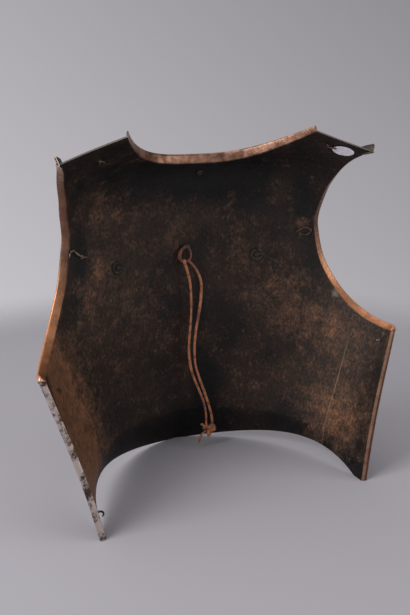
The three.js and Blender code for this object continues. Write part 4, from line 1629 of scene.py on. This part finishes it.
@dataclass(frozen=True)
class Strand:
    """One hanging strand of the lace, from the loop to the knot."""

    name: str
    route: tuple[tuple[float, float, float], ...]
    seed: float
    steps: int = 110
    sides: int = 12

    def path(self) -> np.ndarray:
        """Gives the strand's centreline."""
        return smooth_path(np.array(self.route), self.steps)

    def section(self, share: float) -> np.ndarray:
        """Gives the lace's slightly flattened, slowly twisting section.

        Args:
            share: How far along the strand it is.

        Returns:
            The section's points, as two columns.
        """
        twist = 5.0 * share + self.seed
        swell = 0.22 * math.exp(-((share / 0.02) ** 2))  # where it is doubled through the loop
        wide = LACE_RADIUS * (1.0 + swell + 0.05 * math.sin(23.0 * share + self.seed))
        narrow = 0.8 * LACE_RADIUS * (1.0 + 0.07 * math.sin(31.0 * share + 2.0 * self.seed))
        turn = np.array([[math.cos(twist), math.sin(twist)], [-math.sin(twist), math.cos(twist)]])
        return circle(self.sides) * np.array([wide, narrow]) @ turn

    def build(self, leather: bpy.types.Material, pieces: Sequence[bpy.types.Object]) -> bpy.types.Object:
        """Args:
            leather: Its finish.
            pieces: Not used.

        Returns:
            The dressed piece.
        """
        path = self.path()
        shape = swept(path, self.section)
        made = new_object(f"{self.name}_strand", shape.points, shape.faces, SOFT)
        dressed(made, leather, [self.name])
        return made


@dataclass(frozen=True)
class LaceLoop:
    """The lace where it comes in through the plate: its two bights, made as one rounded loop, hang the
    strands.
    """

    height: float = 241.0
    thickness: float = 3.2
    half_width: float = 6.6
    half_height: float = 8.4
    x: float = -3.9
    z: float = -7.7
    stand: float = 4.9
    stopper: float = 5.9

    def build(self, leather: bpy.types.Material) -> bpy.types.Object:
        """Makes the loop, its stem through the plate and the stopper outside.

        Args:
            leather: Its finish.

        Returns:
            The dressed piece.
        """
        spot = Spot.at(self.height, x=1.5)
        swing = np.linspace(0.0, 2 * np.pi, 64, endpoint=False)
        # A rounded drop, narrower at its top and wavering in depth.
        ring = np.stack([
            self.x + self.half_width * np.sin(swing) * (1.0 - 0.16 * np.cos(swing)),
            -self.stand + 0.5 * np.cos(2 * swing),
            self.z + self.half_height * np.cos(swing) + 0.5 * np.sin(2 * swing),
        ], axis=-1)
        centre = ring.mean(axis=0)
        rings = []
        for k, point in enumerate(ring):
            out = unit((point - centre) * np.array([1.0, 0.0, 1.0]))
            lumps = 1.0 - 0.25 * math.sin(swing[k]) + 0.1 * math.sin(3 * swing[k] + 1.0)
            section = circle(12) @ np.stack([out, np.array([0.0, 0.85, 0.0])])
            rings.append(point + 0.5 * self.thickness * lumps * section)
        seat, s = SHEET + 0.15, self.stopper
        foot, top = -self.stand, seat + 0.2
        through = [(0.0, foot), (1.7, foot + 0.3), (2.1, -2.0), (2.1, top), (0.0, top)]
        outside = [(0.0, 0.0), (s - 0.3, 0.0), (s, 0.4), (s, 1.2), (s * 0.7, 2.3), (0.0, 2.6)]
        stem = Shape.turned(through, 20, 0.2, 3.0)
        button = Shape.turned([(radius, seat + rise) for radius, rise in outside], 32, 0.25, 7.0)
        whole = Shape.joined([Shape.ring(np.array(rings)[:, ::-1]), stem, button]).placed(spot)
        made = new_object("lace_bight", whole.points, whole.faces, SOFT)
        return dressed(made, leather, ["lace_loop"])


@dataclass(frozen=True)
class LaceKnot:
    """The overhand knot that ties both strands together, and its two short ends."""

    centre: tuple[float, float, float] = (25.5, 144.8, 23.0)
    body_radius: float = 1.95  # of the lace where it is wound and pulled tight
    end_radius: float = 1.3

    def build(self, leather: bpy.types.Material) -> bpy.types.Object:
        """Makes the knot.

        Args:
            leather: Its finish.

        Returns:
            The dressed piece.
        """
        centre = np.array(self.centre)
        # The lace winds through itself in a trefoil, drawn tight.
        t = np.linspace(0.0, 2 * np.pi, 90)
        trefoil = np.stack([
            2.6 * (np.sin(t) + 1.5 * np.sin(2 * t)) + 1.0,
            -2.6 * np.sin(3 * t),
            2.7 * (np.cos(t) - 1.5 * np.cos(2 * t)) - 0.6,
        ], axis=-1)

        def section(radius: float, share: float) -> np.ndarray:
            """Gives the lumpy, slightly flattened section at a share of its length."""
            return circle(12) * radius * np.array([1 + 0.1 * math.sin(17 * share), 0.85])

        # The course of each short end and of each strand's last stretch, from the knot's middle.
        ends = [
            [(-2, 0, 2), (-6, -0.5, 5.5), (-9.3, -0.5, 8.0)],
            [(-3, 0.3, -2), (-8, 0, -5), (-10.8, 0, -10), (-12.1, 0, -15.2)],
            [(5.3, 1.0, 7.6), (4.6, 0.4, 4.0), (2.0, 0, 0)],
            [(-2.5, 1.0, 7.6), (-1.8, 0.6, 4.0), (0, 0, 0)],
        ]
        shapes = [swept(centre + trefoil, partial(section, self.body_radius))]
        for points in ends:
            path = smooth_path(centre + np.array(points, float), 24)
            shapes.append(swept(path, partial(section, self.end_radius)))
        whole = Shape.joined(shapes)
        made = new_object("lace_tie", whole.points, whole.faces, SOFT)
        return dressed(made, leather, ["lace_knot"])


@dataclass(frozen=True)
class Label:
    """A blank oval paper label stuck inside the right shoulder."""

    x: float = 136.5
    z: float = 345.2
    half_length: float = 11.6
    half_height: float = 7.3
    tilt: float = -26.0
    stand: float = 0.55
    thickness: float = 0.3
    rings: int = 10
    sides: int = 56

    def build(self, finish: LabelPaper) -> bpy.types.Object:
        """Makes the label on the curve of the plate.

        Args:
            finish: The paper's finish.

        Returns:
            The dressed piece.
        """
        spot = Spot.at(self.z, x=self.x)
        tilt = math.radians(self.tilt)
        turn = np.array([[math.cos(tilt), math.sin(tilt)], [-math.sin(tilt), math.cos(tilt)]])
        oval = circle(self.sides) * np.array([self.half_length, self.half_height]) @ turn
        ovals = [oval * ring / self.rings for ring in range(1, self.rings + 1)]
        places = np.concatenate([np.zeros((1, 2)), *ovals])
        under, over = (
            np.array([spot.on_face(*place, lift) for place in places])
            for lift in (self.stand, self.stand + self.thickness)
        )
        sides = self.sides
        faces = [[0, 1 + k, 1 + (k + 1) % sides] for k in range(sides)]
        for ring in range(self.rings - 1):
            for k in range(sides):
                a, b = 1 + ring * sides + k, 1 + ring * sides + (k + 1) % sides
                faces.append([a, a + sides, b + sides, b])
        count = len(places)
        last = 1 + (self.rings - 1) * sides
        rim = []
        for k in range(sides):
            a, b = last + k, last + (k + 1) % sides
            rim.append([a, count + a, count + b, b])
        skins = [list(reversed(f)) for f in faces] + [[count + n for n in f] for f in faces]
        made = new_object("paper_label", np.concatenate([under, over]), skins + rim)
        return dressed(made, finish.material(), ["label"])


# ---- The studio -----------------------------------------------------------------------------------


@dataclass(frozen=True)
class Camera:
    """The camera: where it stands, how it is turned and its lens."""

    position: tuple[float, float, float] = (-0.3301, -0.74528, 0.4183)
    yaw: float = 23.8
    pitch: float = 15.9
    lens: float = 47.65

    def build(self) -> None:
        """Adds the camera."""
        data = bpy.data.cameras.new("camera")
        data.lens = self.lens
        data.clip_start = 0.01
        camera = bpy.data.objects.new("camera", data)
        camera.location = self.position
        camera.rotation_euler = (math.radians(90 - self.pitch), 0.0, math.radians(-self.yaw))
        bpy.context.scene.collection.objects.link(camera)
        bpy.context.scene.camera = camera


@dataclass(frozen=True)
class Softbox:
    """A square area light aimed at the object."""

    name: str
    position: tuple[float, float, float]
    size: float
    watts: float
    target: tuple[float, float, float] = (0.0, 0.0, 0.15)

    def build(self) -> None:
        """Adds the light."""
        data = bpy.data.lights.new(self.name, "AREA")
        data.energy, data.size = self.watts, self.size
        light = bpy.data.objects.new(self.name, data)
        light.location = self.position
        aim = Vector(self.target) - Vector(self.position)
        light.rotation_euler = aim.to_track_quat("-Z", "Y").to_euler()
        bpy.context.scene.collection.objects.link(light)


@dataclass(frozen=True)
class Studio:
    """The pale floor, the soft backdrop and the lights."""

    floor_radius: float = 0.9
    floor_drop: float = 0.05  # millimetres, so that the floor doesn't touch what stands on it
    backdrop: int = 0xFBF8FF  # a little lilac, as the paper is
    middle: float = 0.512  # brightness of the backdrop straight ahead
    falls_right: float = -0.318  # change of brightness towards the right
    falls_up: float = -0.38
    up_reach: float = 0.3
    softboxes: tuple[Softbox, ...] = (
        Softbox("key_softbox", (-1.3, -0.3, 0.95), 0.9, 16.0),
        Softbox("top_softbox", (0.1, 0.2, 1.6), 1.0, 2.5),
        Softbox("fill_softbox", (1.15, -0.9, 0.6), 1.0, 7.0),
    )

    def build(self) -> None:
        """Adds the floor, the lights and the world."""
        sides = 96
        rim = np.pad(circle(sides), ((0, 0), (0, 1))) * self.floor_radius / MILLIMETRE
        points = np.concatenate([np.zeros((1, 3)), rim]) + np.array([0.0, REAR_TO_CENTRE, -self.floor_drop])
        floor = new_object("studio_floor", points, [[0, 1 + k, 1 + (k + 1) % sides] for k in range(sides)])
        floor.data.materials.append(StudioPaper().material())
        for softbox in self.softboxes:
            softbox.build()
        world = bpy.data.worlds.new("studio_backdrop")
        bpy.context.scene.world = world
        world.use_nodes = True
        tree = world.node_tree
        tree.nodes.clear()
        ray = add_node(tree, Kind.COORDINATES).outputs["Generated"]
        ahead = add_node(tree, Kind.SEPARATE, None, (ray,)).outputs
        end = self.falls_up * self.up_reach
        rise = add_node(tree, Kind.MAP_RANGE, None, (ahead["Z"], -self.up_reach, self.up_reach, -end, end))
        slope = add_node(tree, Kind.MATH, MULTIPLY_ADD, (ahead["X"], self.falls_right, rise))
        level = add_node(tree, Kind.MATH, ADD, (slope, self.middle))
        light = add_node(tree, Kind.BACKGROUND, None, {"Color": linear(self.backdrop), "Strength": level})
        add_node(tree, Kind.WORLD_OUTPUT, None, {"Surface": light})
        bpy.context.scene.view_settings.view_transform = "Standard"


def main() -> None:
    """Builds the camera, the lace, the plate, the fittings and the studio, in that order."""
    logging.basicConfig(level=logging.INFO, format="%(name)s: %(message)s")
    noise.seed_set(HAMMERING)
    Camera().build()
    leather = TannedLeather().material()
    handled = TannedLeather("handled_leather", tan=0x6B3F2A, pale=0x9A7460, dark=0x2E1710).material()
    loop = LaceLoop().build(handled)
    knot = LaceKnot().build(leather)
    Strand("lace_left", LEFT_STRAND, 0.4).build(leather, [loop, knot])
    Strand("lace_right", RIGHT_STRAND, 2.1).build(leather, [])
    Plate().build(BlackenedSteel())
    for fitting in (*WASHERS, *FITTINGS):
        fitting.build()
    Label().build(LabelPaper())
    Studio().build()


if __name__ == "__main__":
    main()
